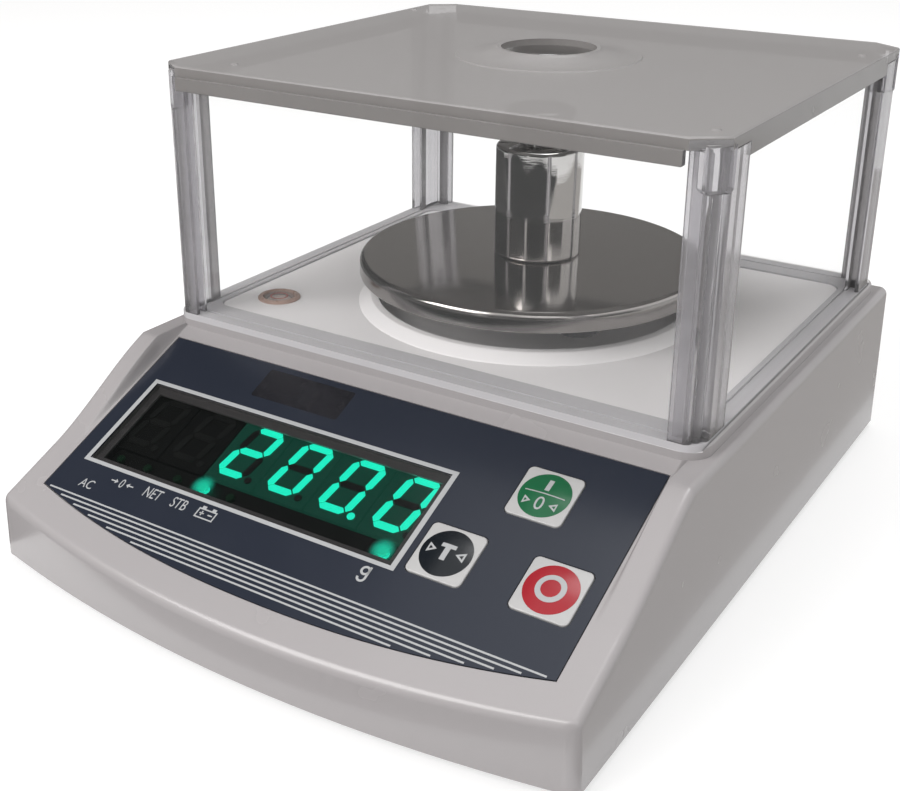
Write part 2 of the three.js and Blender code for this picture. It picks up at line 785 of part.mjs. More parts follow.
// Upper housing.
function upperHousing() {
  const outerGrids = housingGrids(0, housingBottom, true);
  const innerGrids = housingGrids(wall, housingBottom - overrun, false);
  const plinth = levels(
    (inset) => roundedRectangle(
      -plinthHalfWidth,
      plinthHalfWidth,
      plinthFront,
      plinthRear,
      plinthRadius,
      inset,
    ),
    [[ledgeHeight - wall, 0], [plinthTop - plinthEdge, 0], [plinthTop, plinthEdge]],
  );
  const lip = turned([
    [0, plinthUnderside],
    [lipFootRadius, plinthUnderside],
    [lipFootRadius, plinthTop],
    [lipTopRadius, lipTop],
    [0, lipTop],
  ], panX, panY, bigSides);
  const outer = joined([between(outerGrids.top, outerGrids.bottom), plinth, lip]);

  const plinthHollow = prism(
    roundedRectangle(
      -plinthHalfWidth + plinthHollowMargin,
      plinthHalfWidth - plinthHollowMargin,
      plinthFront + plinthHollowMargin,
      plinthRear - plinthHollowMargin,
      plinthRadius,
    ),
    ledgeHeight - wall - overrun,
    plinthUnderside,
  );
  const wellCup = rod(wellRadius + wall, wellUnderside, plinthTop, panX, panY, bigSides);
  const levelCup = rod(
    levelBodyRadius + clearance + wall,
    plinthTop - levelBodyDepth - clearance - wall,
    plinthTop,
    levelX,
    levelY,
  );
  const screwPlaces = Object.values(housingScrewPlaces);
  const bosses = screwPlaces.map(([x, y]) => rod(screwBossRadius, upperBossBottom, ledgeHeight, x, y));
  const displayPosts = displayPostPlaces.map(([u, v]) => (
    onConsole(rod(displayPostRadius, clearance - boardTopDepth, 0, u, v))
  ));
  const hollow = cutAway(
    between(innerGrids.top, innerGrids.bottom).add(plinthHollow),
    [wellCup, levelCup, ...bosses, ...displayPosts],
  );

  const well = rod(wellRadius, wellFloor, lipTop + overrun, panX, panY, bigSides);
  const collarBore = rod(collarRadius, wellUnderside - overrun, lipTop, panX, panY, roundSides);
  const rebate = prism(
    roundedRectangle(
      -shieldHalfWidth - clearance,
      shieldHalfWidth + clearance,
      shieldFront - clearance,
      shieldRear + clearance,
      frameRadius + clearance,
    ),
    frameBottom,
    plinthTop + overrun,
    [roundedRectangle(
      -shieldHalfWidth + frameSideBand + clearance,
      shieldHalfWidth - frameSideBand - clearance,
      shieldFront + frameEndBand + clearance,
      shieldRear - frameEndBand - clearance,
      frameRadius - clearance,
    )],
  );
  const levelBore = rod(
    levelBodyRadius + clearance,
    plinthTop - levelBodyDepth - clearance,
    plinthTop + overrun,
    levelX,
    levelY,
    roundSides,
  );
  const screwBores = screwPlaces.map(([x, y]) => (
    rod(screwShankRadius + clearance, 0, seatTop + screwReach + clearance, x, y)
  ));
  const filmSeat = onConsole(prism(filmOutline(clearance), -filmSeatDepth, overrun));
  const paneSeat = onConsole(prism(windowOutline(clearance), -paneSeatDepth, overrun));
  const paneAperture = onConsole(prism(windowOutline(-paneLedge), -wall - overrun, overrun));
  const keyApertures = keyPlaces.map((place) => (
    onConsole(prism(keyOutline(place, clearance), -wall - overrun, overrun))
  ));
  const boreRadius = boardScrewRadius + clearance;
  const postBores = displayPostPlaces.map(([u, v]) => (
    onConsole(rod(boreRadius, -boardTopDepth - overrun, boardScrewReach - boardTopDepth, u, v))
  ));
  const shell = cutAway(outer, [
    hollow,
    well,
    collarBore,
    rebate,
    levelBore,
    ...screwBores,
    filmSeat,
    paneSeat,
    paneAperture,
    ...keyApertures,
    ...postBores,
    alongY([[socketBarrelRadius + clearance, wall + overrun]]),
    alongY([[socketFlangeRadius + clearance, socketPocketDepth]]),
  ]);
  const collar = turned([
    [collarRadius, wellUnderside],
    [collarRadius + collarWall, wellUnderside],
    [collarRadius + collarWall, wellFloor + collarHeight],
    [collarRadius, wellFloor + collarHeight],
    [collarRadius, wellUnderside],
  ], panX, panY);
  return shell.add(collar);
}

// Stepped rod on the socket's axis, inward from the rear face: [radius, how deep it reaches].
function alongY(steps) {
  const rods = steps.map(([radius, depth, start = -overrun]) => {
    const geometry = new THREE.CylinderGeometry(radius, radius, depth - start, roundSides);
    geometry.translate(socketX, housingRear - (depth + start) / 2, socketZ);
    return solid(geometry);
  });
  return joined(rods);
}

// Bottom tray with seats for screws, feet, load cell, board and battery door.
function lowerHousing() {
  const edge = wall + clearance;
  const rimEdge = edge + clearance;
  const plate = prism(housingOutline(edge), housingBottom, trayTop);
  const rim = prism(
    housingOutline(rimEdge),
    housingBottom,
    trayTop + trayRimHeight,
    [housingOutline(rimEdge + trayRimWall)],
  );
  const screwPlaces = Object.values(housingScrewPlaces);
  const screwSeats = screwPlaces.map(([x, y]) => (
    rod(screwHeadRadius + clearance + screwSeatWall, housingBottom, seatTop + screwSeatWall, x, y)
  ));
  const screwHoles = screwPlaces.flatMap(([x, y]) => [
    rod(screwHeadRadius + clearance, 0, seatTop, x, y),
    rod(screwShankRadius + clearance, 0, upperBossBottom + overrun, x, y),
  ]);
  const feet = Object.values(footPlaces);
  const footSeatRadius = footPocketRadius + footPocketWall;
  const footSeats = feet.flatMap(([x, y]) => [
    rod(footSeatRadius, housingBottom, footPocketTop + footPocketWall, x, y, roundSides),
    rod(footBossRadius, housingBottom, footBossTop, x, y, roundSides),
  ]);
  const footHoles = feet.flatMap(([x, y]) => [
    rod(footPocketRadius, 0, footPocketTop, x, y, roundSides),
    rod(footStudRadius + clearance, 0, footBossTop + overrun, x, y),
  ]);
  const boardPosts = mainPostPlaces.map(([x, y]) => (
    rod(mainPostRadius, housingBottom, mainBoardBottom, x, y)
  ));
  const boardBores = mainPostPlaces.map(([x, y]) => (
    rod(boardScrewRadius + clearance, mainBoardTop - boardScrewReach - clearance, mainBoardTop, x, y)
  ));
  const stopBoss = rod(stopBossRadius, housingBottom, trayTop + stopBossHeight, panX, stopY);
  const stopBore = rod(stopScrewRadius + clearance, 0, cellBottom, panX, stopY);
  const cellHoles = cellBaseScrewPlaces.flatMap(([x, y]) => [
    rod(cellScrewHeadRadius + clearance, 0, cellHeadTop, x, y),
    rod(cellScrewRadius + clearance, 0, cellBottom, x, y),
  ]);
  const doorway = prism(
    roundedRectangle(
      batteryX - doorHalfWidth - clearance,
      batteryX + doorHalfWidth + clearance,
      batteryY - doorHalfLength - clearance,
      batteryY + doorHalfLength + clearance,
      batteryEdge,
    ),
    0,
    trayTop + overrun,
  );
  const whole = joined([plate, rim, ...screwSeats, ...footSeats, ...boardPosts, stopBoss]);
  return cutAway(whole, [...screwHoles, ...footHoles, ...boardBores, stopBore, ...cellHoles, doorway]);
}

// Screw standing head down (up = 1) or head up (up = -1), shank starting at the head's inner face.
function screw(x, y, headFace, up, headRadius, headHeight, shankRadius, reach) {
  const headEnd = headFace - up * headHeight;
  const tip = headFace + up * reach;
  const head = rod(headRadius, Math.min(headFace, headEnd), Math.max(headFace, headEnd), x, y);
  const shank = rod(shankRadius, Math.min(headFace, tip), Math.max(headFace, tip), x, y);
  return head.add(shank);
}

// Battery door with ribs round the pack and a finger grip.
function batteryDoor() {
  const x0 = batteryX - doorHalfWidth;
  const x1 = batteryX + doorHalfWidth;
  const y0 = batteryY - doorHalfLength;
  const y1 = batteryY + doorHalfLength;
  const plate = prism(roundedRectangle(x0, x1, y0, y1, batteryEdge), housingBottom, trayTop);
  const ribs = prism(
    roundedRectangle(x0, x1, y0, y1, batteryEdge),
    trayTop,
    trayTop + doorRibHeight,
    [roundedRectangle(
      x0 + doorRibWall,
      x1 - doorRibWall,
      y0 + doorRibWall,
      y1 - doorRibWall,
      batteryEdge,
    )],
  );
  const grip = block(
    batteryX - doorGripWidth / 2,
    batteryX + doorGripWidth / 2,
    y0 + doorGripLength,
    y0 + 2 * doorGripLength,
    0,
    housingBottom + doorGripDepth,
  );
  return plate.add(ribs).subtract(grip);
}

function batteryPack() {
  return levels(
    (inset) => roundedRectangle(
      batteryX - batteryWidth / 2,
      batteryX + batteryWidth / 2,
      batteryY - batteryLength / 2,
      batteryY + batteryLength / 2,
      batteryEdge,
      inset,
    ),
    [
      [batteryBottom, batteryEdge / 2],
      [batteryBottom + batteryEdge / 2, 0],
      [batteryBottom + batteryHeight - batteryEdge / 2, 0],
      [batteryBottom + batteryHeight, batteryEdge / 2],
    ],
  );
}

// Power socket with its flange, barrel, nut, bore and pin.
function powerSocket() {
  const face = socketPocketDepth - clearance - socketFlangeThickness;
  const nutStart = wall + clearance;
  const body = alongY([
    [socketFlangeRadius, face + socketFlangeThickness, face],
    [socketBarrelRadius, socketLength, face],
    [socketNutRadius, nutStart + socketNutLength, nutStart],
  ]);
  const bore = alongY([[socketBoreRadius, socketBoreDepth]]);
  const pin = alongY([[socketPinRadius, socketLength, face + socketFlangeThickness]]);
  return body.subtract(bore).add(pin);
}

// Key: cap with softened top edge, flange under the wall, plunger towards the switch.
function key([u, v]) {
  const flangeTop = -wall - clearance;
  const flangeBottom = flangeTop - keyFlangeThickness;
  const cap = levels(
    (inset) => roundedRectangle(
      u - keySide / 2,
      u + keySide / 2,
      v - keySide / 2,
      v + keySide / 2,
      keyCornerRadius,
      inset,
    ),
    [[flangeTop - keyFlangeThickness / 2, 0], [keyProud - keyEdge, 0], [keyProud, keyEdge]],
  );
  const flange = prism(keyOutline([u, v], keyFlangeMargin), flangeBottom, flangeTop);
  const plunger = rod(keyPlungerRadius, flangeBottom - keyPlungerLength, flangeBottom, u, v);
  return joined([cap, flange, plunger]);
}

// Display board with its key switches, indicator lamps and fixing screws soldered or screwed on.
function displayBoard() {
  const root = -boardTopDepth - boardThickness / 2;
  const half = switchSide / 2;
  const switchTop = switchHeight - boardTopDepth;
  const board = block(
    -displayBoardHalfWidth,
    displayBoardHalfWidth,
    displayBoardLower,
    displayBoardUpper,
    -boardBottomDepth,
    -boardTopDepth,
  );
  const switches = keyPlaces.flatMap(([u, v]) => [
    block(u - half, u + half, v - half, v + half, root, switchTop),
    rod(switchButtonRadius, root, switchTop + switchButtonHeight, u, v),
  ]);
  const lamps = lampPlaces.map((u) => rod(lampRadius, root, -digitFaceDepth, u, lampRow));
  const screws = displayPostPlaces.flatMap(([u, v]) => [
    rod(boardScrewHeadRadius, -boardBottomDepth - boardScrewHeadHeight, root, u, v),
    rod(boardScrewRadius, root, boardScrewReach - boardTopDepth - clearance, u, v),
  ]);
  return joined([board, ...switches, ...lamps, ...screws]);
}

// Seven-segment module: block with raised, slanted segments and a decimal point.
function digitModule(order) {
  const left = firstDigitLeft + order * digitPitch;
  const middle = left + (digitWidth + digitTopShift) / 2;
  const lower = digitModuleLower + (digitModuleHeight - digitHeight) / 2;
  const base = -digitFaceDepth - digitModuleDepth;
  const face = -digitFaceDepth - segmentProud;
  const body = block(
    middle - digitModuleWidth / 2,
    middle + digitModuleWidth / 2,
    digitModuleLower,
    digitModuleLower + digitModuleHeight,
    base,
    face,
  );
  const reach = segmentWidth / 2;
  const bar = (x0, y0, x1, y1) => {
    const from = new THREE.Vector2(x0, y0);
    const to = new THREE.Vector2(x1, y1);
    const along = to.clone().sub(from).normalize();
    const across = new THREE.Vector2(-along.y, along.x).multiplyScalar(reach);
    from.addScaledVector(along, segmentGap);
    to.addScaledVector(along, -segmentGap);
    const points = [
      from.clone(),
      from.clone().addScaledVector(along, reach).sub(across),
      to.clone().addScaledVector(along, -reach).sub(across),
      to.clone(),
      to.clone().addScaledVector(along, -reach).add(across),
      from.clone().addScaledVector(along, reach).add(across),
    ];
    return prism(
      points.map((point) => new THREE.Vector2(
        left + point.x + digitTopShift * (point.y / digitHeight),
        lower + point.y,
      )),
      base,
      -digitFaceDepth,
    );
  };
  const x0 = reach;
  const x1 = digitWidth - reach;
  const rows = [reach, digitHeight / 2, digitHeight - reach];
  const bars = [
    ...rows.map((row) => bar(x0, row, x1, row)),
    ...[x0, x1].flatMap((x) => [bar(x, rows[0], x, rows[1]), bar(x, rows[1], x, rows[2])]),
  ];
  const point = rod(
    pointRadius,
    base,
    -digitFaceDepth,
    left + digitWidth + pointRadius + segmentGap,
    lower + pointRadius / 2,
    smallSides / 2,
  );
  return joined([body, ...bars, point]);
}

// Single-point load cell: bar with two joined bores, drilled at both ends.
function loadCell() {
  const middleZ = cellBottom + cellSide / 2;
  const outline = [
    new THREE.Vector2(cellFront, cellBottom),
    new THREE.Vector2(cellRear, cellBottom),
    new THREE.Vector2(cellRear, cellTop),
    new THREE.Vector2(cellFront, cellTop),
  ];
  const boreArc = (side) => {
    const half = Math.asin(cellSlotWidth / 2 / cellBoreRadius);
    const centre = panY + (side * cellBoreSpacing) / 2;
    return Array.from({ length: smallSides + 1 }, (_, k) => {
      const turn = (side > 0 ? Math.PI : 0) + half + (k / smallSides) * 2 * (Math.PI - half);
      return new THREE.Vector2(
        centre + cellBoreRadius * Math.cos(turn),
        middleZ + cellBoreRadius * Math.sin(turn),
      );
    });
  };
  const window = [...boreArc(1), ...boreArc(-1)];
  const bar = sideProfile(outline, panX - cellSide / 2, panX + cellSide / 2, [window]);
  const drills = [...cellBaseScrewPlaces, ...bracketScrewPlaces].map(([x, y]) => (
    rod(cellScrewRadius + clearance, cellBottom - overrun, cellTop + overrun, x, y)
  ));
  return cutAway(bar, drills);
}

function cellBase() {
  const bar = block(
    panX - cellBaseHalfWidth,
    panX + cellBaseHalfWidth,
    cellRear - cellBaseLength,
    cellRear,
    trayTop,
    cellBottom,
  );
  const drills = cellBaseScrewPlaces.map(([x, y]) => (
    rod(cellScrewRadius + clearance, trayTop - overrun, cellBottom + overrun, x, y)
  ));
  return cutAway(bar, drills);
}

// Screw whose head stops the cell's free end before it bends too far.
function overloadStop() {
  const top = cellBottom - stopGap;
  const head = rod(stopHeadRadius, top - stopHeadHeight, top, panX, stopY);
  const shank = rod(stopScrewRadius, housingBottom, top, panX, stopY);
  return head.add(shank);
}

// Bracket from the free end of the cell back to the load post under the pan.
function carrierBracket() {
  const plateTop = bracketPlate + bracketThickness;
  const arm = sideProfile([
    new THREE.Vector2(cellFront, bracketBottom),
    new THREE.Vector2(cellFront + bracketSpacerLength, bracketBottom),
    new THREE.Vector2(cellFront + bracketSpacerLength, bracketPlate),
    new THREE.Vector2(panY, bracketPlate),
    new THREE.Vector2(panY, plateTop),
    new THREE.Vector2(cellFront, plateTop),
  ], panX - bracketHalfWidth, panX + bracketHalfWidth);
  const seat = rod(bracketHalfWidth, bracketPlate, plateTop, panX, panY, roundSides);
  const post = rod(postRadius, bracketPlate, loadPostTop, panX, panY, roundSides);
  const drills = bracketScrewPlaces.map(([x, y]) => (
    rod(cellScrewRadius + clearance, bracketBottom - overrun, plateTop + overrun, x, y)
  ));
  return cutAway(joined([arm, seat, post]), drills);
}

// Carrier: hub over the load post and four tapering arms that end under the pads.
function panCarrier() {
  const hub = turned([
    [0, carrierBottom],
    [carrierHubRadius, carrierBottom],
    [carrierHubRadius, carrierTop],
    [0, carrierTop],
  ], panX, panY);
  const arms = armTurns.map((turn) => {
    const beam = sideProfile([
      new THREE.Vector2(0, carrierTop - carrierArmRootHeight),
      new THREE.Vector2(carrierReach, carrierTop - carrierArmTipHeight),
      new THREE.Vector2(carrierReach, carrierTop),
      new THREE.Vector2(0, carrierTop),
    ], -carrierArmWidth / 2, carrierArmWidth / 2);
    const tipBottom = carrierTop - carrierArmTipHeight;
    const tip = rod(carrierTipRadius, tipBottom, carrierTop, 0, carrierReach, roundSides);
    const geometry = geometryOf(beam.add(tip));
    geometry.rotateZ(turn);
    geometry.translate(panX, panY, 0);
    return solid(geometry);
  });
  const socketTop = loadPostTop + clearance;
  const socket = rod(postRadius + clearance, carrierBottom - overrun, socketTop, panX, panY, roundSides);
  return joined([hub, ...arms]).subtract(socket);
}

// Pan: a turned-down sheet disc with a hemmed rim.
function pan() {
  const bend = Array.from({ length: arcSteps + 1 }, (_, k) => (k / arcSteps) * Math.PI / 2);
  const outerBend = bend.map((turn) => [
    panRadius - panEdgeRadius * (1 - Math.sin(turn)),
    panTop - panEdgeRadius * (1 - Math.cos(turn)),
  ]);
  const innerRadius = panEdgeRadius - panSheet;
  const innerBend = bend.map((turn) => [
    panRadius - panSheet - innerRadius * (1 - Math.sin(turn)),
    panUnderside - innerRadius * (1 - Math.cos(turn)),
  ]).reverse();
  const rimBottom = panTop - panRimHeight;
  return turned([
    [0, panUnderside],
    [0, panTop],
    ...outerBend,
    [panRadius, rimBottom + panSheet / 2],
    [panRadius - panSheet / 2, rimBottom],
    [panRadius - panSheet, rimBottom + panSheet / 2],
    ...innerBend,
    [0, panUnderside],
  ], panX, panY, bigSides);
}

// Knob weight with a recessed foot, softened edges and a waisted knob.
function knobWeight() {
  const shoulder = panTop + weightBodyHeight;
  const neckTop = shoulder + weightNeckHeight;
  return turned([
    [0, panTop + weightFootRecess],
    [weightFootRecessRadius, panTop + weightFootRecess],
    [weightFootRecessRadius, panTop],
    [weightRadius - weightEdge, panTop],
    [weightRadius, panTop + weightEdge],
    [weightRadius, shoulder - weightEdge],
    [weightRadius - weightEdge, shoulder],
    [weightNeckRadius, shoulder],
    [weightNeckRadius, neckTop - weightNeckHeight / 4],
    [weightKnobRadius - weightKnobEdge, neckTop],
    [weightKnobRadius, neckTop + weightKnobEdge],
    [weightKnobRadius, weightTop - weightKnobEdge],
    [weightKnobRadius - weightKnobEdge / 3, weightTop - weightKnobEdge / 3],
    [weightKnobRadius - weightKnobEdge, weightTop],
    [0, weightTop],
  ], weightX, weightY, bigSides / 2);
}

function shieldBase() {
  const outline = roundedRectangle(
    -shieldHalfWidth,
    shieldHalfWidth,
    shieldFront,
    shieldRear,
    frameRadius,
  );
  const opening = roundedRectangle(
    -shieldHalfWidth + frameSideBand,
    shieldHalfWidth - frameSideBand,
    shieldFront + frameEndBand,
    shieldRear - frameEndBand,
    frameRadius,
  );
  return prism(outline, frameBottom, frameTop, [opening]);
}

// Corner post: L section with a fluted outer cut and a slot in each leg for a panel.
function shieldPost(sideX, sideY) {
  const cut = sideY < 0 ? frontCornerCut : rearCornerCut;
  const slotNear = panelInset - clearance;
  const slotFar = panelInset + panelThickness + clearance;
  const fluted = flutedCut(
    new THREE.Vector2(cornerCutWidth, 0),
    new THREE.Vector2(0, cut),
    new THREE.Vector2(-cut, -cornerCutWidth).normalize(),
  );
  const inward = [
    ...fluted,
    new THREE.Vector2(0, postDepth),
    new THREE.Vector2(slotNear, postDepth),
    new THREE.Vector2(slotNear, postDepth - panelGrip - clearance),
    new THREE.Vector2(slotFar, postDepth - panelGrip - clearance),
    new THREE.Vector2(slotFar, postDepth),
    new THREE.Vector2(postLeg, postDepth),
    new THREE.Vector2(postLeg, postLeg),
    new THREE.Vector2(postWidth, postLeg),
    new THREE.Vector2(postWidth, slotFar),
    new THREE.Vector2(postWidth - panelGrip - clearance, slotFar),
    new THREE.Vector2(postWidth - panelGrip - clearance, slotNear),
    new THREE.Vector2(postWidth, slotNear),
    new THREE.Vector2(postWidth, 0),
  ];
  const endY = sideY < 0 ? shieldFront : shieldRear;
  const points = inward.map(({ x, y }) => new THREE.Vector2(
    sideX * (shieldHalfWidth - x),
    endY - sideY * y,
  ));
  const tongueRoom = prism(tongueOutline(sideX, sideY, clearance), tongueBottom - clearance, lidTop);
  return prism(points, frameTop, shieldTop).subtract(tongueRoom);
}

function endPanel(sideY) {
  const endY = sideY < 0 ? shieldFront : shieldRear;
  const outerY = endY - sideY * panelInset;
  const innerY = outerY - sideY * panelThickness;
  const reach = shieldHalfWidth - postWidth + panelGrip;
  return block(-reach, reach, Math.min(outerY, innerY), Math.max(outerY, innerY), frameTop, shieldTop);
}

function sidePanel(sideX) {
  const outerX = sideX * (shieldHalfWidth - panelInset);
  const innerX = outerX - sideX * panelThickness;
  return block(
    Math.min(outerX, innerX),
    Math.max(outerX, innerX),
    shieldFront + postDepth - panelGrip,
    shieldRear - postDepth + panelGrip,
    frameTop,
    shieldTop,
  );
}

// Lid: plate with a skirt between the posts, a tongue behind each corner cut and a flared collar.
function shieldLid() {
  const plate = levels(lidOutline, [
    [lidUnderside, 0],
    [lidTop - lidEdge, 0],
    [lidTop, lidEdge],
  ]);
  const endReach = shieldHalfWidth - postWidth - clearance;
  const sideFront = shieldFront + postDepth + clearance;
  const sideRear = shieldRear - postDepth - clearance;
  const frontFace = lidFront + lidSkirtSetback;
  const rearFace = lidRear - lidSkirtSetback;
  const skirtBottom = lidTop - lidSkirt;
  const skirtInner = shieldHalfWidth - lidSkirtWall;
  const skirt = [
    block(-endReach, endReach, frontFace, frontFace + lidSkirtWall, skirtBottom, lidUnderside),
    block(-endReach, endReach, rearFace - lidSkirtWall, rearFace, skirtBottom, lidUnderside),
    block(skirtInner, shieldHalfWidth, sideFront, sideRear, skirtBottom, lidUnderside),
    block(-shieldHalfWidth, -skirtInner, sideFront, sideRear, skirtBottom, lidUnderside),
  ];
  const tongues = [[-1, -1], [1, -1], [-1, 1], [1, 1]].map(([sideX, sideY]) => (
    prism(tongueOutline(sideX, sideY, 0), tongueBottom, lidUnderside)
  ));
  const rimTop = lidTop + holeRimHeight;
  const rimOuter = holeRadius + holeRimWidth;
  const flare = Array.from({ length: arcSteps + 1 }, (_, k) => {
    const share = k / arcSteps;
    return [
      THREE.MathUtils.lerp(holeFootRadius, rimOuter, share),
      THREE.MathUtils.lerp(lidTop, rimTop, share * share),
    ];
  });
  const collar = turned([
    [0, lidUnderside],
    [holeFootRadius, lidUnderside],
    ...flare,
    [0, rimTop],
  ], holeX, holeY, bigSides);
  const bore = rod(holeRadius, lidUnderside - overrun, rimTop + overrun, holeX, holeY, bigSides);
  return joined([plate, ...skirt, ...tongues, collar]).subtract(bore);
}

function footPad([x, y]) {
  const recess = footPadHeight - footPinLength;
  return turned([
    [0, 0],
    [footPadRadius, 0],
    [footPadRadius, footPadHeight],
    [footPinRadius + clearance, footPadHeight],
    [footPinRadius + clearance, recess],
    [0, recess],
  ], x, y);
}

// Foot screw: knurled knob with a pin below and a threaded stud above.
function footScrew([x, y]) {
  const points = Array.from({ length: knurlSides }, (_, k) => {
    const turn = (k / knurlSides) * Math.PI * 2;
    const radius = footKnobRadius - (k % 2) * footKnurlDepth;
    return new THREE.Vector2(x + radius * Math.cos(turn), y + radius * Math.sin(turn));
  });
  const knobTop = knobBottom + footKnobHeight;
  return joined([
    prism(points, knobBottom, knobTop),
    rod(footPinRadius, knobBottom - footPinLength, knobBottom, x, y),
    rod(footStudRadius, knobTop, knobTop + footStudLength, x, y),
  ]);
}

// Main board with its chips, capacitors, plug, cooler and fixing screws.
function mainBoard() {
  const root = mainBoardBottom + boardThickness / 2;
  const spanX = mainBoardRight - mainBoardLeft;
  const spanY = mainBoardRear - mainBoardFront;
  const at = ([shareX, shareY]) => [mainBoardLeft + spanX * shareX, mainBoardFront + spanY * shareY];
  const standing = ([x, y], width, length, height) => (
    block(x - width / 2, x + width / 2, y - length / 2, y + length / 2, root, mainBoardTop + height)
  );
  const board = block(
    mainBoardLeft,
    mainBoardRight,
    mainBoardFront,
    mainBoardRear,
    mainBoardBottom,
    mainBoardTop,
  );
  const chips = chipPlaceShares.map((share) => standing(at(share), chipWidth, chipLength, chipHeight));
  const cans = canPlaceShares.map((share) => rod(canRadius, root, mainBoardTop + canHeight, ...at(share)));
  const plug = standing(at(plugPlaceShares), plugWidth, plugLength, plugHeight);
  const [coolerX, coolerY] = at(coolerPlaceShares);
  const cooler = standing([coolerX, coolerY], coolerWidth, coolerLength, coolerHeight);
  const channel = block(
    coolerX - coolerWidth / 2 + coolerFin,
    coolerX + coolerWidth / 2 - coolerFin,
    coolerY - coolerLength / 2 + coolerFin,
    coolerY + coolerLength,
    mainBoardTop + coolerFin,
    mainBoardTop + coolerHeight + overrun,
  );
  const screws = mainPostPlaces.flatMap(([x, y]) => [
    rod(boardScrewHeadRadius, root, mainBoardTop + boardScrewHeadHeight, x, y),
    rod(boardScrewRadius, mainBoardTop - boardScrewReach, root, x, y),
  ]);
  return joined([board, ...chips, ...cans, plug, cooler.subtract(channel), ...screws]);
}

// Looks of the materials.
function look(color, roughness, metalness = 0, opacity = 1) {
  const transparent = opacity < 1;
  return new THREE.MeshStandardMaterial({ color, roughness, metalness, opacity, transparent });
}
const casing = look(0xe4e2df, 0.45);
const darkPlastic = look(0x2a2c30, 0.6);
const filmInk = look(0x1c2a58, 0.35);
const smoked = look(0x20261f, 0.1, 0, 0.6);
const clear = look(0xdfe3e4, 0.05, 0, 0.35);
const clearDense = look(0xc9cfd0, 0.1, 0, 0.5);
const keyGreen = look(0x2f9a57, 0.4);
const keyBlue = look(0x243a80, 0.4);
const keyRed = look(0xc23a34, 0.4);
const steel = look(0xb9bbbd, 0.25, 1);
const bareAluminium = look(0xc6c8ca, 0.4, 1);
const plated = look(0xd8d9da, 0.15, 1);
const rubber = look(0x1b1b1c, 0.9);
const circuit = look(0x1f5a35, 0.5);
const segments = look(0x35f0a4, 0.4);
const levelAmber = look(0x9c6a5a, 0.5);
const levelGreen = look(0xb7e05a, 0.1, 0, 0.7);

const balance = new THREE.Group();
const consoleParts = new THREE.Group();
consoleParts.position.copy(consoleFrame.position);
consoleParts.rotation.copy(consoleFrame.rotation);
balance.add(consoleParts);

function part(name, body, material, group = balance) {
  const mesh = new THREE.Mesh(geometryOf(body), material);
  mesh.name = name;
  group.add(mesh);
}

part('upper_housing', upperHousing(), casing);
part('lower_housing', lowerHousing(), casing);
for (const [place, [x, y]] of Object.entries(housingScrewPlaces)) {
  part(
    `housing_screw_${place}`,
    screw(x, y, seatTop - clearance, 1, screwHeadRadius, screwHeadHeight, screwShankRadius, screwReach),
    plated,
  );
}
part('battery_door', batteryDoor(), casing);
part('battery_pack', batteryPack(), darkPlastic);
part('power_socket', powerSocket(), darkPlastic);

part('console_film', prism(
  filmOutline(0),
  -filmThickness,
  0,
  [windowOutline(clearance), ...keyPlaces.map((place) => keyOutline(place, clearance))],
), filmInk, consoleParts);
part('display_window', prism(windowOutline(0), -paneThickness, 0), smoked, consoleParts);
part('key_zero', key(keyZeroPlace), keyGreen, consoleParts);
part('key_tare', key(keyTarePlace), keyBlue, consoleParts);
part('key_off', key(keyOffPlace), keyRed, consoleParts);
part('display_board', displayBoard(), circuit, consoleParts);
for (let order = 0; order < digitCount; order += 1) {
  part(`digit_${order + 1}`, digitModule(order), segments, consoleParts);
}
part('level_holder', turned([
  [levelVialRadius + clearance, plinthTop - levelBodyDepth],
  [levelBodyRadius, plinthTop - levelBodyDepth],
  [levelBodyRadius, plinthTop],
  [levelHolderRadius, plinthTop],
  [levelHolderRadius, plinthTop + levelHolderRise / 2],
  [levelBodyRadius, plinthTop + levelHolderRise],
  [levelVialRadius + clearance, plinthTop + levelHolderRise],
  [levelVialRadius + clearance, plinthTop - levelBodyDepth],
], levelX, levelY), levelAmber);
part('level_vial', turned([
  [0, plinthTop + levelVialRise],
  [levelVialRadius, plinthTop + levelVialRise],
  [levelVialRadius, plinthTop - levelBodyDepth],
  [levelVialRadius - levelVialWall, plinthTop - levelBodyDepth],
  [levelVialRadius - levelVialWall, plinthTop + levelVialRise - levelVialWall],
  [0, plinthTop + levelVialRise - levelVialWall],
], levelX, levelY), clear);
part('level_liquid', turned([
  [0, plinthTop - levelBodyDepth],
  [levelVialRadius - levelVialWall - clearance, plinthTop - levelBodyDepth],
  [levelVialRadius - levelVialWall - clearance, plinthTop + levelVialRise - levelVialWall - clearance],
  [levelBubbleRadius, plinthTop + levelVialRise - levelVialWall - clearance],
  [levelBubbleRadius, plinthTop + levelVialRise - levelVialWall - clearance - levelBubbleDepth],
  [0, plinthTop + levelVialRise - levelVialWall - clearance - levelBubbleDepth],
], levelX, levelY), levelGreen);

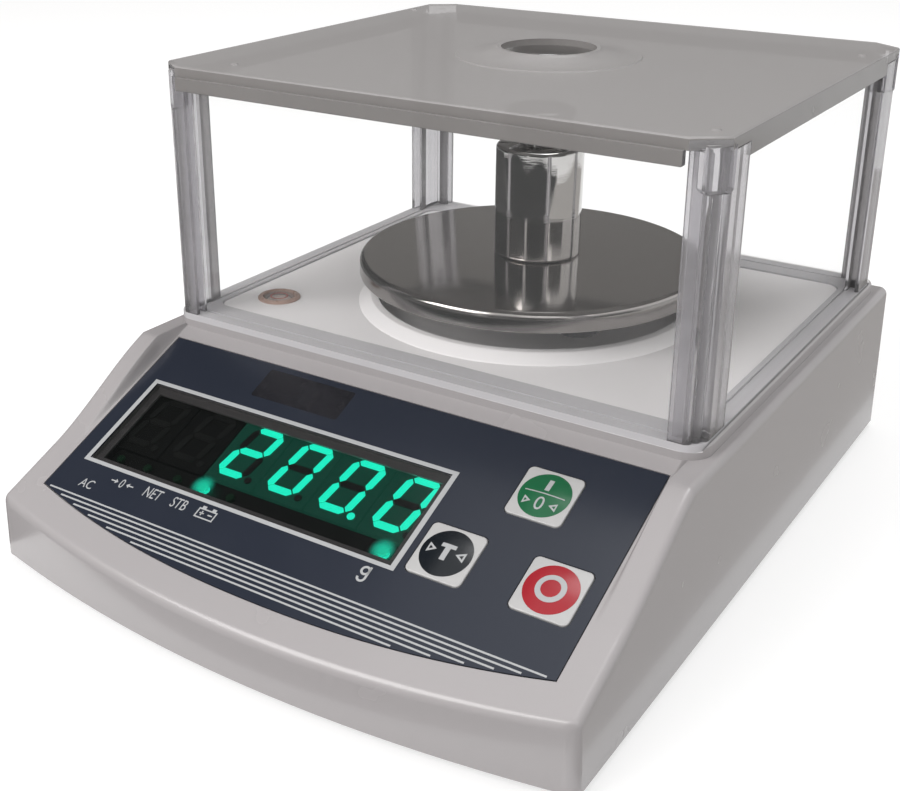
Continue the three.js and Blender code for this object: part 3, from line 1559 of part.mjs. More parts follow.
part('load_cell', loadCell(), bareAluminium);
part('load_cell_base', cellBase(), steel);
for (const [order, [x, y]] of cellBaseScrewPlaces.entries()) {
  part(`load_cell_screw_${order + 1}`, screw(
    x,
    y,
    cellHeadTop - clearance,
    1,
    cellScrewHeadRadius,
    cellScrewHeadHeight,
    cellScrewRadius,
    cellBottom - cellHeadTop + cellScrewReach,
  ), plated);
}
part('overload_stop', overloadStop(), plated);
part('carrier_bracket', carrierBracket(), bareAluminium);
for (const [order, [x, y]] of bracketScrewPlaces.entries()) {
  part(`bracket_screw_${order + 1}`, screw(
    x,
    y,
    bracketPlate + bracketThickness + clearance,
    -1,
    cellScrewHeadRadius,
    cellScrewHeadHeight,
    cellScrewRadius,
    bracketSpacerHeight + bracketThickness + cellScrewReach,
  ), plated);
}
part('pan_carrier', panCarrier(), darkPlastic);
for (const [order, [x, y]] of padPlaces.entries()) {
  part(`carrier_pad_${order + 1}`, rod(padRadius, carrierTop, panUnderside, x, y), rubber);
}
part('pan', pan(), steel);
part('knob_weight', knobWeight(), plated);

part('main_board', mainBoard(), circuit);

part('shield_base', shieldBase(), clear);
part('shield_post_front_left', shieldPost(-1, -1), clearDense);
part('shield_post_front_right', shieldPost(1, -1), clearDense);
part('shield_post_rear_left', shieldPost(-1, 1), clearDense);
part('shield_post_rear_right', shieldPost(1, 1), clearDense);
part('shield_panel_front', endPanel(-1), clear);
part('shield_panel_rear', endPanel(1), clear);
part('shield_panel_left', sidePanel(-1), clear);
part('shield_panel_right', sidePanel(1), clear);
part('shield_lid', shieldLid(), clearDense);

for (const [place, position] of Object.entries(footPlaces)) {
  part(`foot_pad_${place}`, footPad(position), rubber);
  part(`foot_screw_${place}`, footScrew(position), darkPlastic);
}

export default balance;
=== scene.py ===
# %% [markdown]
# # A laboratory balance with its draught shield
# The construction model comes in first and stays fixed.
# It says where every piece sits and what moves with what.
# Everything after it gives those pieces their finish, or stands a finer shape in the place of a plain one.
# All sizes below are in millimetres, and a finished piece is brought to metres in one step.
# %% Load the fixed frame
import math

import bmesh
import bpy
from mathutils import Matrix, Vector
from mathutils.geometry import tessellate_polygon


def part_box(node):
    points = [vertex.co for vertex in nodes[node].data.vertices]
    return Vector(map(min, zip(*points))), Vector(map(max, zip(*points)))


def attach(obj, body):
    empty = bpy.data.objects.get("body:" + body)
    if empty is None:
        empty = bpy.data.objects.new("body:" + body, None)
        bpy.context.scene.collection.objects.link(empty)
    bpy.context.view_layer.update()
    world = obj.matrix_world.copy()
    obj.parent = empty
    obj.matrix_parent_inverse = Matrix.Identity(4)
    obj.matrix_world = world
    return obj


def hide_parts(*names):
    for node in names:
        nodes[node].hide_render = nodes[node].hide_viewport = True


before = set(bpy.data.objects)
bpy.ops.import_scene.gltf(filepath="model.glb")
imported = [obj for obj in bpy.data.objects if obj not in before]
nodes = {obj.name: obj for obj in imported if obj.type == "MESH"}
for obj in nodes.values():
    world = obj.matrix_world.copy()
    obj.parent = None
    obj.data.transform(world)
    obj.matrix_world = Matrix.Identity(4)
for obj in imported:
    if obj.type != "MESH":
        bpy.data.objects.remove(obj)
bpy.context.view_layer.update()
mm = 0.001

# %% [markdown]
# The photograph was taken from the right of the console and a little above it.
# A camera is described best by where it stands, how it turns and its lens.
# The small shift stands for the way the picture was trimmed: turning the camera would bend the
# upright lines.
# %% Stand the camera where the photographer stood
camera_place = Vector((189.1, -318.6, 204.6))
camera_azimuth = 0.584
camera_elevation = 0.379
camera_data = bpy.data.cameras.new("camera")
camera_data.lens = 52.13
camera_data.sensor_width = 36
camera_data.shift_x = 0.0347
camera_data.shift_y = -0.0778
camera = bpy.data.objects.new("camera", camera_data)
bpy.context.scene.collection.objects.link(camera)
camera.location = camera_place * mm
camera.rotation_euler = (math.pi / 2 - camera_elevation, 0, camera_azimuth)
bpy.context.scene.camera = camera
print("camera stands", round(camera_place.length), "mm from the middle of the footprint")

# %% [markdown]
# A shape is built as a bmesh in millimetres: a lathe for round pieces, a prism for cut sheets,
# a pile of outlines for softened edges, and a grid for the moulded housing.
# Each helper closes its skin, so that shapes can be joined and cut as solids.
# %% Helpers that make closed shapes
join_distance = 1e-5


def shape_of(points, faces):
    """Closed skin over a list of points, with its faces turned outwards."""
    shape = bmesh.new()
    corners = [shape.verts.new(point) for point in points]
    for face in faces:
        if len(set(face)) > 2:
            shape.faces.new([corners[i] for i in face])
    bmesh.ops.remove_doubles(shape, verts=shape.verts, dist=join_distance)
    bmesh.ops.recalc_face_normals(shape, faces=shape.faces)
    return shape


def lathe(profile, x, y, sides=96):
    """Profile of (radius, height) pairs turned about an upright axis, closed on the axis or on itself."""
    points = []
    for radius, height in profile:
        for k in range(sides):
            turn = 2 * math.pi * k / sides
            points.append((x + radius * math.cos(turn), y + radius * math.sin(turn), height))
    faces = []
    for i in range(len(profile) - 1):
        if profile[i][0] == 0 and profile[i + 1][0] == 0:
            continue
        for k in range(sides):
            after = (k + 1) % sides
            faces.append((i * sides + k, i * sides + after, (i + 1) * sides + after, (i + 1) * sides + k))
    return shape_of(points, faces)


def rod(radius, low, high, x, y, sides=48):
    return lathe([(0, low), (radius, low), (radius, high), (0, high)], x, y, sides)


def prism(outline, low, high, holes=()):
    """Flat outline with holes, raised from low to high."""
    loops = [outline, *holes]
    flat = [point for loop in loops for point in loop]
    triangles = tessellate_polygon([[Vector((x, y, 0)) for x, y in loop] for loop in loops])
    count = len(flat)
    points = [(x, y, low) for x, y in flat] + [(x, y, high) for x, y in flat]
    faces = [tuple(reversed(t)) for t in triangles] + [tuple(count + i for i in t) for t in triangles]
    start = 0
    for loop in loops:
        for k in range(len(loop)):
            here = start + k
            after = start + (k + 1) % len(loop)
            faces.append((here, after, count + after, count + here))
        start += len(loop)
    return shape_of(points, faces)


def levels(outline_at, steps):
    """Skin over an outline drawn at several (height, inset) steps, capped at both ends."""
    rings = [[(x, y, height) for x, y in outline_at(inset)] for height, inset in steps]
    count = len(rings[0])
    faces = []
    for i in range(len(rings) - 1):
        low = i * count
        high = low + count
        for k in range(count):
            after = (k + 1) % count
            faces.append((low + k, low + after, high + after, high + k))
    faces.append(tuple(reversed(range(count))))
    faces.append(tuple(range((len(rings) - 1) * count, len(rings) * count)))
    return shape_of([point for ring in rings for point in ring], faces)


print("smallest join:", join_distance, "mm")

# %% [markdown]
# Most outlines are rounded rectangles and circles, drawn as lists of points. The moulded housing is
# skinned between two grids of points instead, because its upper side follows its own rule.
# %% Helpers that draw outlines and skin grids


def rounded_rectangle(x0, x1, y0, y1, radius, inset=0, steps=8):
    points = []
    corners = [(x1 - radius, y0 + radius, -1), (x1 - radius, y1 - radius, 0),
               (x0 + radius, y1 - radius, 1), (x0 + radius, y0 + radius, 2)]
    for x, y, quarter in corners:
        for k in range(steps + 1):
            turn = (quarter + k / steps) * math.pi / 2
            points.append((x + (radius - inset) * math.cos(turn), y + (radius - inset) * math.sin(turn)))
    return points


def circle(x, y, radius, sides=64):
    turns = [2 * math.pi * k / sides for k in range(sides)]
    return [(x + radius * math.cos(turn), y + radius * math.sin(turn)) for turn in turns]


def rectangle(x0, x1, y0, y1):
    return [(x0, y0), (x1, y0), (x1, y1), (x0, y1)]


def between(top, bottom):
    """Closed body between an upper and a lower grid of points."""
    rows = len(top)
    columns = len(top[0])
    points = [p for row in top for p in row] + [p for row in bottom for p in row]

    def upper(i, j):
        return i * columns + j

    def lower(i, j):
        return (rows + i) * columns + j

    faces = []
    for i in range(rows - 1):
        for j in range(columns - 1):
            faces.append((upper(i, j), upper(i, j + 1), upper(i + 1, j + 1), upper(i + 1, j)))
            faces.append((lower(i, j), lower(i + 1, j), lower(i + 1, j + 1), lower(i, j + 1)))
        for j in (0, columns - 1):
            faces.append((upper(i, j), upper(i + 1, j), lower(i + 1, j), lower(i, j)))
    for i in (0, rows - 1):
        for j in range(columns - 1):
            faces.append((upper(i, j), lower(i, j), lower(i, j + 1), upper(i, j + 1)))
    return shape_of(points, faces)


def arc_steps(count):
    return [k / count * math.pi / 2 for k in range(count + 1)]


print("points in a rounded outline:", len(rounded_rectangle(0, 2, 0, 2, 1)))

# %% [markdown]
# Solids are joined and cut with Blender's Boolean modifier. Its manifold solver is quick and exact
# on closed skins, and the result comes back as a bmesh, so no modifier stays.
# %% Helpers that join and cut shapes


def held(shape):
    mesh = bpy.data.meshes.new("holder")
    shape.to_mesh(mesh)
    holder = bpy.data.objects.new("holder", mesh)
    bpy.context.scene.collection.objects.link(holder)
    return holder


def let_go(holder):
    mesh = holder.data
    bpy.data.objects.remove(holder)
    bpy.data.meshes.remove(mesh)


def combined(body, tool, operation):
    first = held(body)
    second = held(tool)
    change = first.modifiers.new("combine", "BOOLEAN")
    change.operation = operation
    change.solver = "MANIFOLD"
    change.object = second
    bpy.context.view_layer.update()
    result = bmesh.new()
    result.from_object(first, bpy.context.evaluated_depsgraph_get())
    let_go(first)
    let_go(second)
    return result


def joined(*shapes):
    whole = shapes[0]
    for shape in shapes[1:]:
        whole = combined(whole, shape, "UNION")
    return whole


def cut(body, *tools):
    for tool in tools:
        body = combined(body, tool, "DIFFERENCE")
    return body


def gathered(*shapes, indices=None):
    """Several shapes side by side in one mesh, each with its own material index."""
    whole = bmesh.new()
    for order, shape in enumerate(shapes):
        for face in shape.faces:
            face.material_index = indices[order] if indices else 0
        loose = bpy.data.meshes.new("loose")
        shape.to_mesh(loose)
        whole.from_mesh(loose)
        bpy.data.meshes.remove(loose)
    return whole


def moved(shape, matrix):
    bmesh.ops.transform(shape, matrix=matrix, verts=shape.verts)
    return shape


print("solver:", "manifold")

# %% [markdown]
# A finished piece has its place in its mesh and its object at the origin, as the construction's own
# nodes have. Faces that meet at a small angle are shaded smooth, and weighted normals keep the large
# flat faces flat.
# %% Helper that finishes a piece
smooth_angle = math.radians(32)


def piece(name, shape, body, materials, replaces=(), weighted=False):
    """Brings a shape to metres, gives it its finish and sets it riding on its body."""
    moved(shape, Matrix.Scale(mm, 4))
    mesh = bpy.data.meshes.new(name)
    shape.to_mesh(mesh)
    shape.free()
    mesh.shade_smooth()
    mesh.set_sharp_from_angle(angle=smooth_angle)
    made = bpy.data.objects.new(name, mesh)
    bpy.context.scene.collection.objects.link(made)
    for material in materials:
        mesh.materials.append(material)
    if weighted:
        normals = made.modifiers.new("flat faces stay flat", "WEIGHTED_NORMAL")
        normals.keep_sharp = True
    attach(made, body)
    if replaces:
        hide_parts(*replaces)
    return made


def box_of(node):
    low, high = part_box(node)
    return low / mm, high / mm


def middle_of(node):
    low, high = box_of(node)
    return (low + high) / 2


print("smooth below", round(math.degrees(smooth_angle)), "degrees")

# %% [markdown]
# A finish, the sky and the table are each a small tree of nodes. Built by hand, a node takes a line to
# make it and one for each of its inputs, so one helper adds a node and another fills its inputs.
# %% Helpers that build trees of nodes
scene = bpy.context.scene
scene.view_settings.view_transform = "Standard"


def node_tree(owner):
    """Empty tree of a material or of the world."""
    owner.use_nodes = True
    tree = owner.node_tree
    tree.nodes.clear()
    return tree


def feed(tree, node, inputs):
    """Fills inputs, given by name or order: an output of another node is linked, a plain value is set."""
    for key, value in inputs.items():
        if isinstance(value, bpy.types.NodeSocket):
            tree.links.new(value, node.inputs[key])
        else:
            node.inputs[key].default_value = value


def add_node(tree, kind, inputs=None, **settings):
    node = tree.nodes.new(kind)
    for key, value in settings.items():
        setattr(node, key, value)
    feed(tree, node, inputs or {})
    return node


def seen_directly(tree):
    """1 for rays from the camera, from mirrors and through clear pieces, and 0 for all others."""
    path = add_node(tree, "ShaderNodeLightPath").outputs
    total = path["Is Camera Ray"]
    for output in ("Is Glossy Ray", "Is Transmission Ray"):
        total = add_node(tree, "ShaderNodeMath", {0: total, 1: path[output]}, operation="MAXIMUM").outputs[0]
    return total


def show_in_two_ways(tree, kind, unseen, seen):
    """Ends a tree with one shader for the light that bounces and another for what is seen directly."""
    inputs = {0: seen_directly(tree), 1: unseen.outputs[0], 2: seen.outputs[0]}
    mix = add_node(tree, "ShaderNodeMixShader", inputs)
    add_node(tree, kind, {0: mix.outputs[0]})


print("view transform:", scene.view_settings.view_transform)

# %% [markdown]
# The set is a white table that runs out of sight, under a large soft lamp on the left, a wide weaker
# one on the right and one above. The table is white to the camera, to reflections and through clear
# plastic, yet it keeps a soft shadow: part of its brightness is its own and part is light that falls on it.
# %% Light the set
world_glow = 0.46
warm_white = (1, 0.985, 0.97, 1)
world = bpy.data.worlds.new("studio")
scene.world = world
sky = node_tree(world)
soft_sky = add_node(sky, "ShaderNodeBackground", {"Color": warm_white, "Strength": world_glow})
white_sky = add_node(sky, "ShaderNodeBackground", {"Strength": 1})
show_in_two_ways(sky, "ShaderNodeOutputWorld", soft_sky, white_sky)

table_side = 12
table_own_light = 0.66
table_seen_grey = 0.42
table_bounce_grey = 0.6
table_paint = bpy.data.materials.new("white_table")
table_tree = node_tree(table_paint)


def flat_grey(tree, grey):
    return add_node(tree, "ShaderNodeBsdfDiffuse", {"Color": (grey, grey, grey, 1)})


own = add_node(table_tree, "ShaderNodeEmission", {"Strength": table_own_light})
lit = flat_grey(table_tree, table_seen_grey)
both = add_node(table_tree, "ShaderNodeAddShader", {0: own.outputs[0], 1: lit.outputs[0]})
show_in_two_ways(table_tree, "ShaderNodeOutputMaterial", flat_grey(table_tree, table_bounce_grey), both)


def stand(made, place, direction):
    """Links an object to the scene with its own Z axis along a direction."""
    scene.collection.objects.link(made)
    made.location = place
    made.rotation_mode = "QUATERNION"
    made.rotation_quaternion = direction.to_track_quat("Z", "Y")


def stage_card(name, width, height, place, facing, material):
    """Flat card of the set, turned to face a point."""
    mesh = bpy.data.meshes.new(name)
    w = width / 2
    h = height / 2
    mesh.from_pydata([(-w, -h, 0), (w, -h, 0), (w, h, 0), (-w, h, 0)], [], [(0, 1, 2, 3)])
    mesh.materials.append(material)
    card = bpy.data.objects.new(name, mesh)
    stand(card, place, Vector(facing) - Vector(place))
    return card


def lamp(name, place, aim, size, watts, tint=(1, 1, 1)):
    data = bpy.data.lights.new(name, "AREA")
    data.shape = "SQUARE"
    data.size = size
    data.energy = watts
    data.color = tint
    made = bpy.data.objects.new(name, data)
    stand(made, place, Vector(place) - Vector(aim))
    made.visible_camera = False


stage_card("white_table", table_side, table_side, (0, 0, 0), (0, 0, 1), table_paint)
lamp("key_lamp", (-0.55, -1.0, 0.9), (0, 0, 0.05), 0.9, 13, (1, 0.98, 0.97))
lamp("fill_lamp", (0.95, -0.85, 0.8), (0, 0, 0.05), 1.1, 3.4)
lamp("top_lamp", (0.1, 0.5, 1.5), (0, 0.03, 0.05), 0.9, 9)
print("lamps:", len(bpy.data.lights), "world's glow:", world_glow)

# %% [markdown]
# Chrome and polished steel are only as good as what they mirror.
# Dark cards, which only reflections see, stand where a room would be dark: behind the object, on both
# sides and low in front. Others lie on the table, because the upright side of the weight mirrors what
# lies there. A card is given by its two sides, its place and its grey.
# %% Stand the dark cards
standing_cards = {
    "rear_card": (1.7, 1.1, (-0.62, 1.0, 0.5), 0.17),
    "left_card": (1.5, 1.8, (-0.95, 0.05, 0.92), 0.03),
    "front_left_card": (1.1, 0.62, (-0.6, -0.95, 0.36), 0.03),
    "front_right_card": (1.1, 0.62, (0.5, -1.0, 0.36), 0.03),
    "right_card": (0.8, 0.5, (1.15, -0.2, 0.3), 0.1),
}
table_cards = {
    "table_front_card": (1.3, 0.84, (-0.03, -0.548, 0.0006), 0.02),
    "table_left_card": (0.7, 0.6, (-0.45, 0.175, 0.0006), 0.04),
    "table_right_card": (0.42, 0.6, (0.31, 0.175, 0.0006), 0.5),
}


def mirror_card(name, width, height, place, grey, facing):
    paint = bpy.data.materials.new(name)
    tree = node_tree(paint)
    glow = add_node(tree, "ShaderNodeEmission", {"Color": (grey, grey * 0.96, grey * 0.92, 1)})
    add_node(tree, "ShaderNodeOutputMaterial", {0: glow.outputs[0]})
    card = stage_card(name, width, height, place, facing, paint)
    card.visible_camera = False
    card.visible_diffuse = False
    card.visible_transmission = False
    card.visible_shadow = False


for name, (width, height, place, grey) in standing_cards.items():
    mirror_card(name, width, height, place, grey, (0, 0.03, place[2]))
for name, (width, depth, place, grey) in table_cards.items():
    mirror_card(name, width, depth, place, grey, (place[0], place[1], 1))
print("cards standing:", len(standing_cards), "lying on the table:", len(table_cards))

# %% [markdown]
# Moulded plastic has a fine grain and is never quite even in colour or shine.
# One recipe serves most finishes: slow noise shifts the colour a little, another shifts the roughness,
# and a fine one lifts the surface. A value that is even all over stays on the shader's own socket.
# %% Recipe for the finishes


def add_noise(tree, place, scale, detail=3, stretch=None):
    """Noise in object space. Its scale is how many waves fit in a metre."""
    if stretch:
        place = add_node(tree, "ShaderNodeMapping", {"Vector": place, "Scale": stretch}).outputs[0]
    noise = add_node(tree, "ShaderNodeTexNoise", {"Vector": place, "Scale": scale, "Detail": detail})
    return noise.outputs["Fac"]


def add_range(tree, value, low, high, start=0.3, end=0.7, **settings):
    """Brings a value from start to end over to low to high. Noise is mostly between 0.3 and 0.7."""
    inputs = {"Value": value, "From Min": start, "From Max": end, "To Min": low, "To Max": high}
    return add_node(tree, "ShaderNodeMapRange", inputs, **settings).outputs["Result"]


def add_tints(tree, value, first, second):
    inputs = {"Factor": value, "A": (*first, 1), "B": (*second, 1)}
    return add_node(tree, "ShaderNodeMix", inputs, data_type="RGBA").outputs["Result"]


def add_bump(tree, height, strength):
    inputs = {"Height": height, "Strength": strength, "Distance": mm}
    return add_node(tree, "ShaderNodeBump", inputs).outputs[0]


def object_place(tree):
    return add_node(tree, "ShaderNodeTexCoord").outputs["Object"]


def feed_shader(material, inputs):
    tree = material.node_tree
    shader = next(node for node in tree.nodes if node.type == "BSDF_PRINCIPLED")
    feed(tree, shader, inputs)
    return material


def finish_recipe(name, tint, shift=0.06, cloud=40, roughness=(0.4, 0.5), grain=900, lift=0.02,
                  stretch=None, **even):
    """Finish with a varied colour and roughness, and a fine grain. Even values go to the shader by name."""
    material = bpy.data.materials.new(name)
    tree = node_tree(material)
    shader = add_node(tree, "ShaderNodeBsdfPrincipled")
    add_node(tree, "ShaderNodeOutputMaterial", {"Surface": shader.outputs[0]})
    place = object_place(tree)
    darker = tuple(c * (1 - shift) for c in tint)
    lighter = tuple(min(c * (1 + shift), 1) for c in tint)
    patches = add_noise(tree, place, cloud * 2.3, stretch=stretch)
    inputs = {
        "Base Color": add_tints(tree, add_noise(tree, place, cloud, stretch=stretch), darker, lighter),
        "Roughness": add_range(tree, patches, *roughness),
    }
    if lift:
        inputs["Normal"] = add_bump(tree, add_noise(tree, place, grain, 2, stretch), lift)
    for socket, value in even.items():
        inputs[socket.replace("_", " ")] = value
    return feed_shader(material, inputs)


print("materials of the set:", len(bpy.data.materials))

# %% [markdown]
# The casing is glossy white plastic that looks grey in the photograph, because the room was dim.
# The film is navy with pale print, the keys have their own colours, and the metal inside is plain.
# %% Finishes of the plastics, the print and the metals
casing = finish_recipe("casing_white", (0.4, 0.382, 0.388), 0.012, 18, (0.265, 0.275), 2600, 0.01,
                       Coat_Weight=0.35, Coat_Roughness=0.1)
# A much lighter copy of the casing's finish for the plinth inside the shield: painted light, which makes up
# for the shade that the lid casts on it.
plinth_painted_light = finish_recipe("plinth_painted_light", (0.93, 0.915, 0.92), 0.012, 18, (0.325, 0.335), 2600, 0.01)
inner_casing = finish_recipe("casing_underside", (0.45, 0.44, 0.44), 0.03, 25, (0.5, 0.62), 2200, 0.05)
dark_plastic = finish_recipe("dark_plastic", (0.022, 0.022, 0.025), 0.15, 60, (0.42, 0.55), 2400, 0.08)
film_navy = finish_recipe("film_navy", (0.022, 0.027, 0.041), 0.06, 22, (0.2, 0.26), 3200, 0.01,
                          Coat_Weight=0.1, Coat_Roughness=0.1)
film_ink = finish_recipe("film_ink_pale", (0.44, 0.45, 0.46), 0.04, 300, (0.3, 0.4), 3000, 0.01)
plate_patch = finish_recipe("film_patch_black", (0.018, 0.018, 0.022), 0.15, 120, (0.16, 0.24), 2400, 0.02)
module_face = finish_recipe("module_face", (0.012, 0.013, 0.012), 0.2, 160, (0.5, 0.6), 2000, 0.02)
ghost_segment = finish_recipe("segment_unlit", (0.05, 0.052, 0.05), 0.15, 200, (0.35, 0.45), 2400, 0.02)
key_pale = finish_recipe("key_square_pale", (0.5, 0.5, 0.5), 0.05, 240, (0.28, 0.36), 2800, 0.015)
key_green = finish_recipe("key_green", (0.012, 0.125, 0.05), 0.08, 220, (0.2, 0.26), 2600, 0.015)
key_navy = finish_recipe("key_navy", (0.008, 0.011, 0.015), 0.1, 220, (0.2, 0.26), 2600, 0.015)
key_red = finish_recipe("key_red", (0.36, 0.02, 0.03), 0.08, 220, (0.2, 0.26), 2600, 0.015)
circuit = finish_recipe("circuit_green", (0.012, 0.1, 0.04), 0.2, 90, (0.3, 0.45), 1800, 0.1)
rubber = finish_recipe("rubber_black", (0.018, 0.018, 0.018), 0.2, 90, (0.7, 0.85), 2600, 0.2)
bare_aluminium = finish_recipe("aluminium_milled", (0.62, 0.62, 0.63), 0.05, 30, (0.28, 0.42), 900, 0.05,
                               (1, 14, 1), Metallic=1)
plated = finish_recipe("screw_plated", (0.68, 0.68, 0.69), 0.05, 120, (0.18, 0.3), 1500, 0.05, Metallic=1)
plain_steel = finish_recipe("steel_milled", (0.5, 0.49, 0.48), 0.06, 40, (0.3, 0.42), 1200, 0.06,
                            (12, 1, 1), Metallic=1)
level_brown = finish_recipe("level_ring_brown", (0.42, 0.29, 0.24), 0.08, 200, (0.25, 0.35), 2600, 0.03)
level_mark = finish_recipe("level_mark_red", (0.36, 0.06, 0.045), 0.08, 300, (0.25, 0.35), 2600, 0.02)
print("finishes:", len(bpy.data.materials))

# %% [markdown]
# Light from a lit segment is a plain glow. Its colour still varies a little along the segment,
# as the light guide over the diode does.
# %% Finish of the lit segments


def glowing(name, tint, strength):
    material = finish_recipe(name, tint, 0.1, 500, (0.3, 0.4), 2000, 0)
    tree = material.node_tree
    flicker = add_noise(tree, object_place(tree), 700)
    light = add_tints(tree, flicker, tuple(c * 0.8 for c in tint), tint)
    return feed_shader(material, {"Emission Color": light, "Emission Strength": strength})


lit_green = glowing("segment_lit", (0.012, 0.86, 0.56), 3.2)
# The black face of a lit module glows faintly green: painted light, for the segments' light spilling onto
# it.
painted_glow_face = glowing("module_face_painted_glow", (0.006, 0.07, 0.045), 1.6)
print("finishes that glow:", lit_green.name, painted_glow_face.name)

# %% [markdown]
# Clear acrylic is shown in three ways. The thin panels are almost not there, so they let most light
# straight through. Posts and frame are thick enough to bend light. The lid is cloudy plastic: it lets a
# quarter of the light straight through, which brightens the plinth under it. Its edges and underside get
# a darker copy of its finish, which is painted shade.
# %% Finishes of the clear pieces
smoked = finish_recipe("window_smoked", (0.006, 0.007, 0.007), 0.1, 60, (0.1, 0.14), 2000, 0, Alpha=0.45)
panel_clear = finish_recipe("panel_clear", (0.8, 0.82, 0.83), 0.02, 20, (0.03, 0.06), 900, 0, Alpha=0.03)
frosted = finish_recipe("lid_cloudy", (0.4, 0.387, 0.386), 0.012, 14, (0.3, 0.31), 500, 0,
                        Alpha=0.74, IOR=1.4)
# Darker copy of the lid's finish: painted shade on the lid's edges and underside.
lid_painted_shade = finish_recipe("lid_edge_painted_shade", (0.24, 0.23, 0.225), 0.03, 30, (0.2, 0.28), 500, 0,
                            Alpha=0.9, IOR=1.4)
post_clear = finish_recipe("post_clear", (0.68, 0.67, 0.69), 0.03, 60, (0.06, 0.12), 900, 0,
                           Transmission_Weight=0.82, IOR=1.42)
# Dark copy of the post's clear finish for the faces of the panel slots: painted shade in the slots.
post_slot = finish_recipe("post_slot_shade", (0.2, 0.19, 0.19), 0.1, 80, (0.15, 0.25), 900, 0,
                          Transmission_Weight=0.6, IOR=1.42)
frame_clear = finish_recipe("frame_clear", (0.76, 0.75, 0.775), 0.03, 60, (0.12, 0.2), 900, 0,
                            Transmission_Weight=0.25, IOR=1.42)
vial_clear = finish_recipe("vial_clear", (0.9, 0.86, 0.84), 0.02, 200, (0.04, 0.08), 900, 0, Alpha=0.15)
level_fluid = finish_recipe("level_fluid", (0.7, 0.57, 0.51), 0.06, 150, (0.1, 0.15), 900, 0)
print("finishes in all:", len(bpy.data.materials))

# %% [markdown]
# The upper housing is the hardest moulding of the product: a loft along its length. Its front bows
# out, its corners close in round, and the console sinks between two ridges that rise in an S-curve.
# The same rules as the construction's are used here with finer steps, and the wall's inner roll is
# rounded as well.
# %% Sizes of the housing
housing_half_width = 93
housing_front = -120
housing_rear = 120
housing_bottom = 2.5
ledge_height = 52.2
wall = 2.5
draft = 0.7
front_bow = 10.3
corner_radius = 3
shoulder_radius = 2.4
front_edge_radius = 2
rear_edge_radius = 3
console_foot_y = -102.1
console_foot_z = 24.5
console_slope = math.radians(23.5)
console_half_width = 83.4
ridge_wall_width = 1.6
ridge_start = -89
ridge_end = -50.6
clearance = 0.3
overrun = 1


def clamped(value, low=0.0, high=1.0):
    return max(low, min(high, value))


def smooth(value, start=0.0, end=1.0):
    share = clamped((value - start) / (end - start))
    return share * share * (3 - 2 * share)


def floor_at(y):
    return min(console_foot_z + (y - console_foot_y) * math.tan(console_slope), ledge_height)


def crest_at(y):
    rise = ledge_height - floor_at(ridge_end)
    return min(floor_at(y) + rise * smooth(y, ridge_start, ridge_end), ledge_height)


def edge_drop(distance, radius):
    short = max(radius - distance, 0)
    return radius - math.sqrt(radius * radius - short * short)


console_top_y = console_foot_y + (ledge_height - console_foot_z) / math.tan(console_slope)
console = Matrix.Translation((0, console_foot_y, console_foot_z)) @ Matrix.Rotation(console_slope, 4, "X")


def on_console(shape):
    """From console coordinates, across, up the slope and out of the face, to the balance's own."""
    return moved(shape, console)


print("console meets the ledge at y =", round(console_top_y, 1))

# %% [markdown]
# The loft is a list of stations from front to rear. Each station is one row of points across the housing,
# and the rows make the upper skin. The inner skin follows the same rule one wall further in.
# %% Loft the housing
corner_fineness = 10
ridge_fineness = 22
shoulder_fineness = 7
roll_fineness = 6
floor_fineness = 12


def stations(inset):
    front = housing_front + inset
    rear = housing_rear - inset
    radius = max(corner_radius - inset, clearance)
    half = housing_half_width - inset
    front_radius = max(front_edge_radius - inset, clearance)
    rear_radius = max(rear_edge_radius - inset, clearance)
    around = [(radius * (1 - math.cos(t)), half - radius * (1 - math.sin(t)))
              for t in arc_steps(corner_fineness)]
    run_length = ridge_end - ridge_start
    ridges = [ridge_start + run_length * k / ridge_fineness for k in range(ridge_fineness + 1)]
    rows = [(front + run, width, edge_drop(run, front_radius)) for run, width in around]
    rows += [(y, half, 0) for y in (*ridges, console_top_y)]
    rows += [(rear - run, width, edge_drop(run, rear_radius)) for run, width in reversed(around)]
    return rows


def housing_grids(inset, bottom_z, ridged):
    top = []
    bottom = []
    shoulder = max(shoulder_radius - inset, clearance)
    for y, half, drop in stations(inset):
        flat = half - draft - shoulder
        ridge = min(console_half_width + ridge_wall_width, flat - 1)
        inner = min(console_half_width, ridge - ridge_wall_width)
        columns = [(inner * k / floor_fineness, 0, 0) for k in range(floor_fineness + 1)]
        for k in range(1, roll_fineness + 1):
            share = k / roll_fineness
            columns.append((inner + (ridge - inner) * share, smooth(share) if ridged else 0, 0))
        rise = 1 if ridged else 0
        for turn in arc_steps(shoulder_fineness):
            columns.append((flat + shoulder * math.sin(turn), rise, shoulder * (1 - math.cos(turn))))
        row = [(-x, share, fall) for x, share, fall in reversed(columns[1:])] + columns
        bow_share = clamped((ridge_start - y) / (ridge_start - housing_front))
        upper = []
        lower = []
        for j, (x, share, fall) in enumerate(row):
            place = y + front_bow * bow_share * (x / housing_half_width) ** 2
            height = floor_at(place) + (crest_at(place) - floor_at(place)) * share
            upper.append((x, place, height - inset / math.cos(console_slope) - drop - fall))
            outermost = j in (0, len(row) - 1)
            lower.append((math.copysign(half, x) if outermost else x, place, bottom_z))
        top.append(upper)
        bottom.append(lower)
    return top, bottom


outer_skin = between(*housing_grids(0, housing_bottom, True))
print("outer skin:", len(outer_skin.faces), "faces")

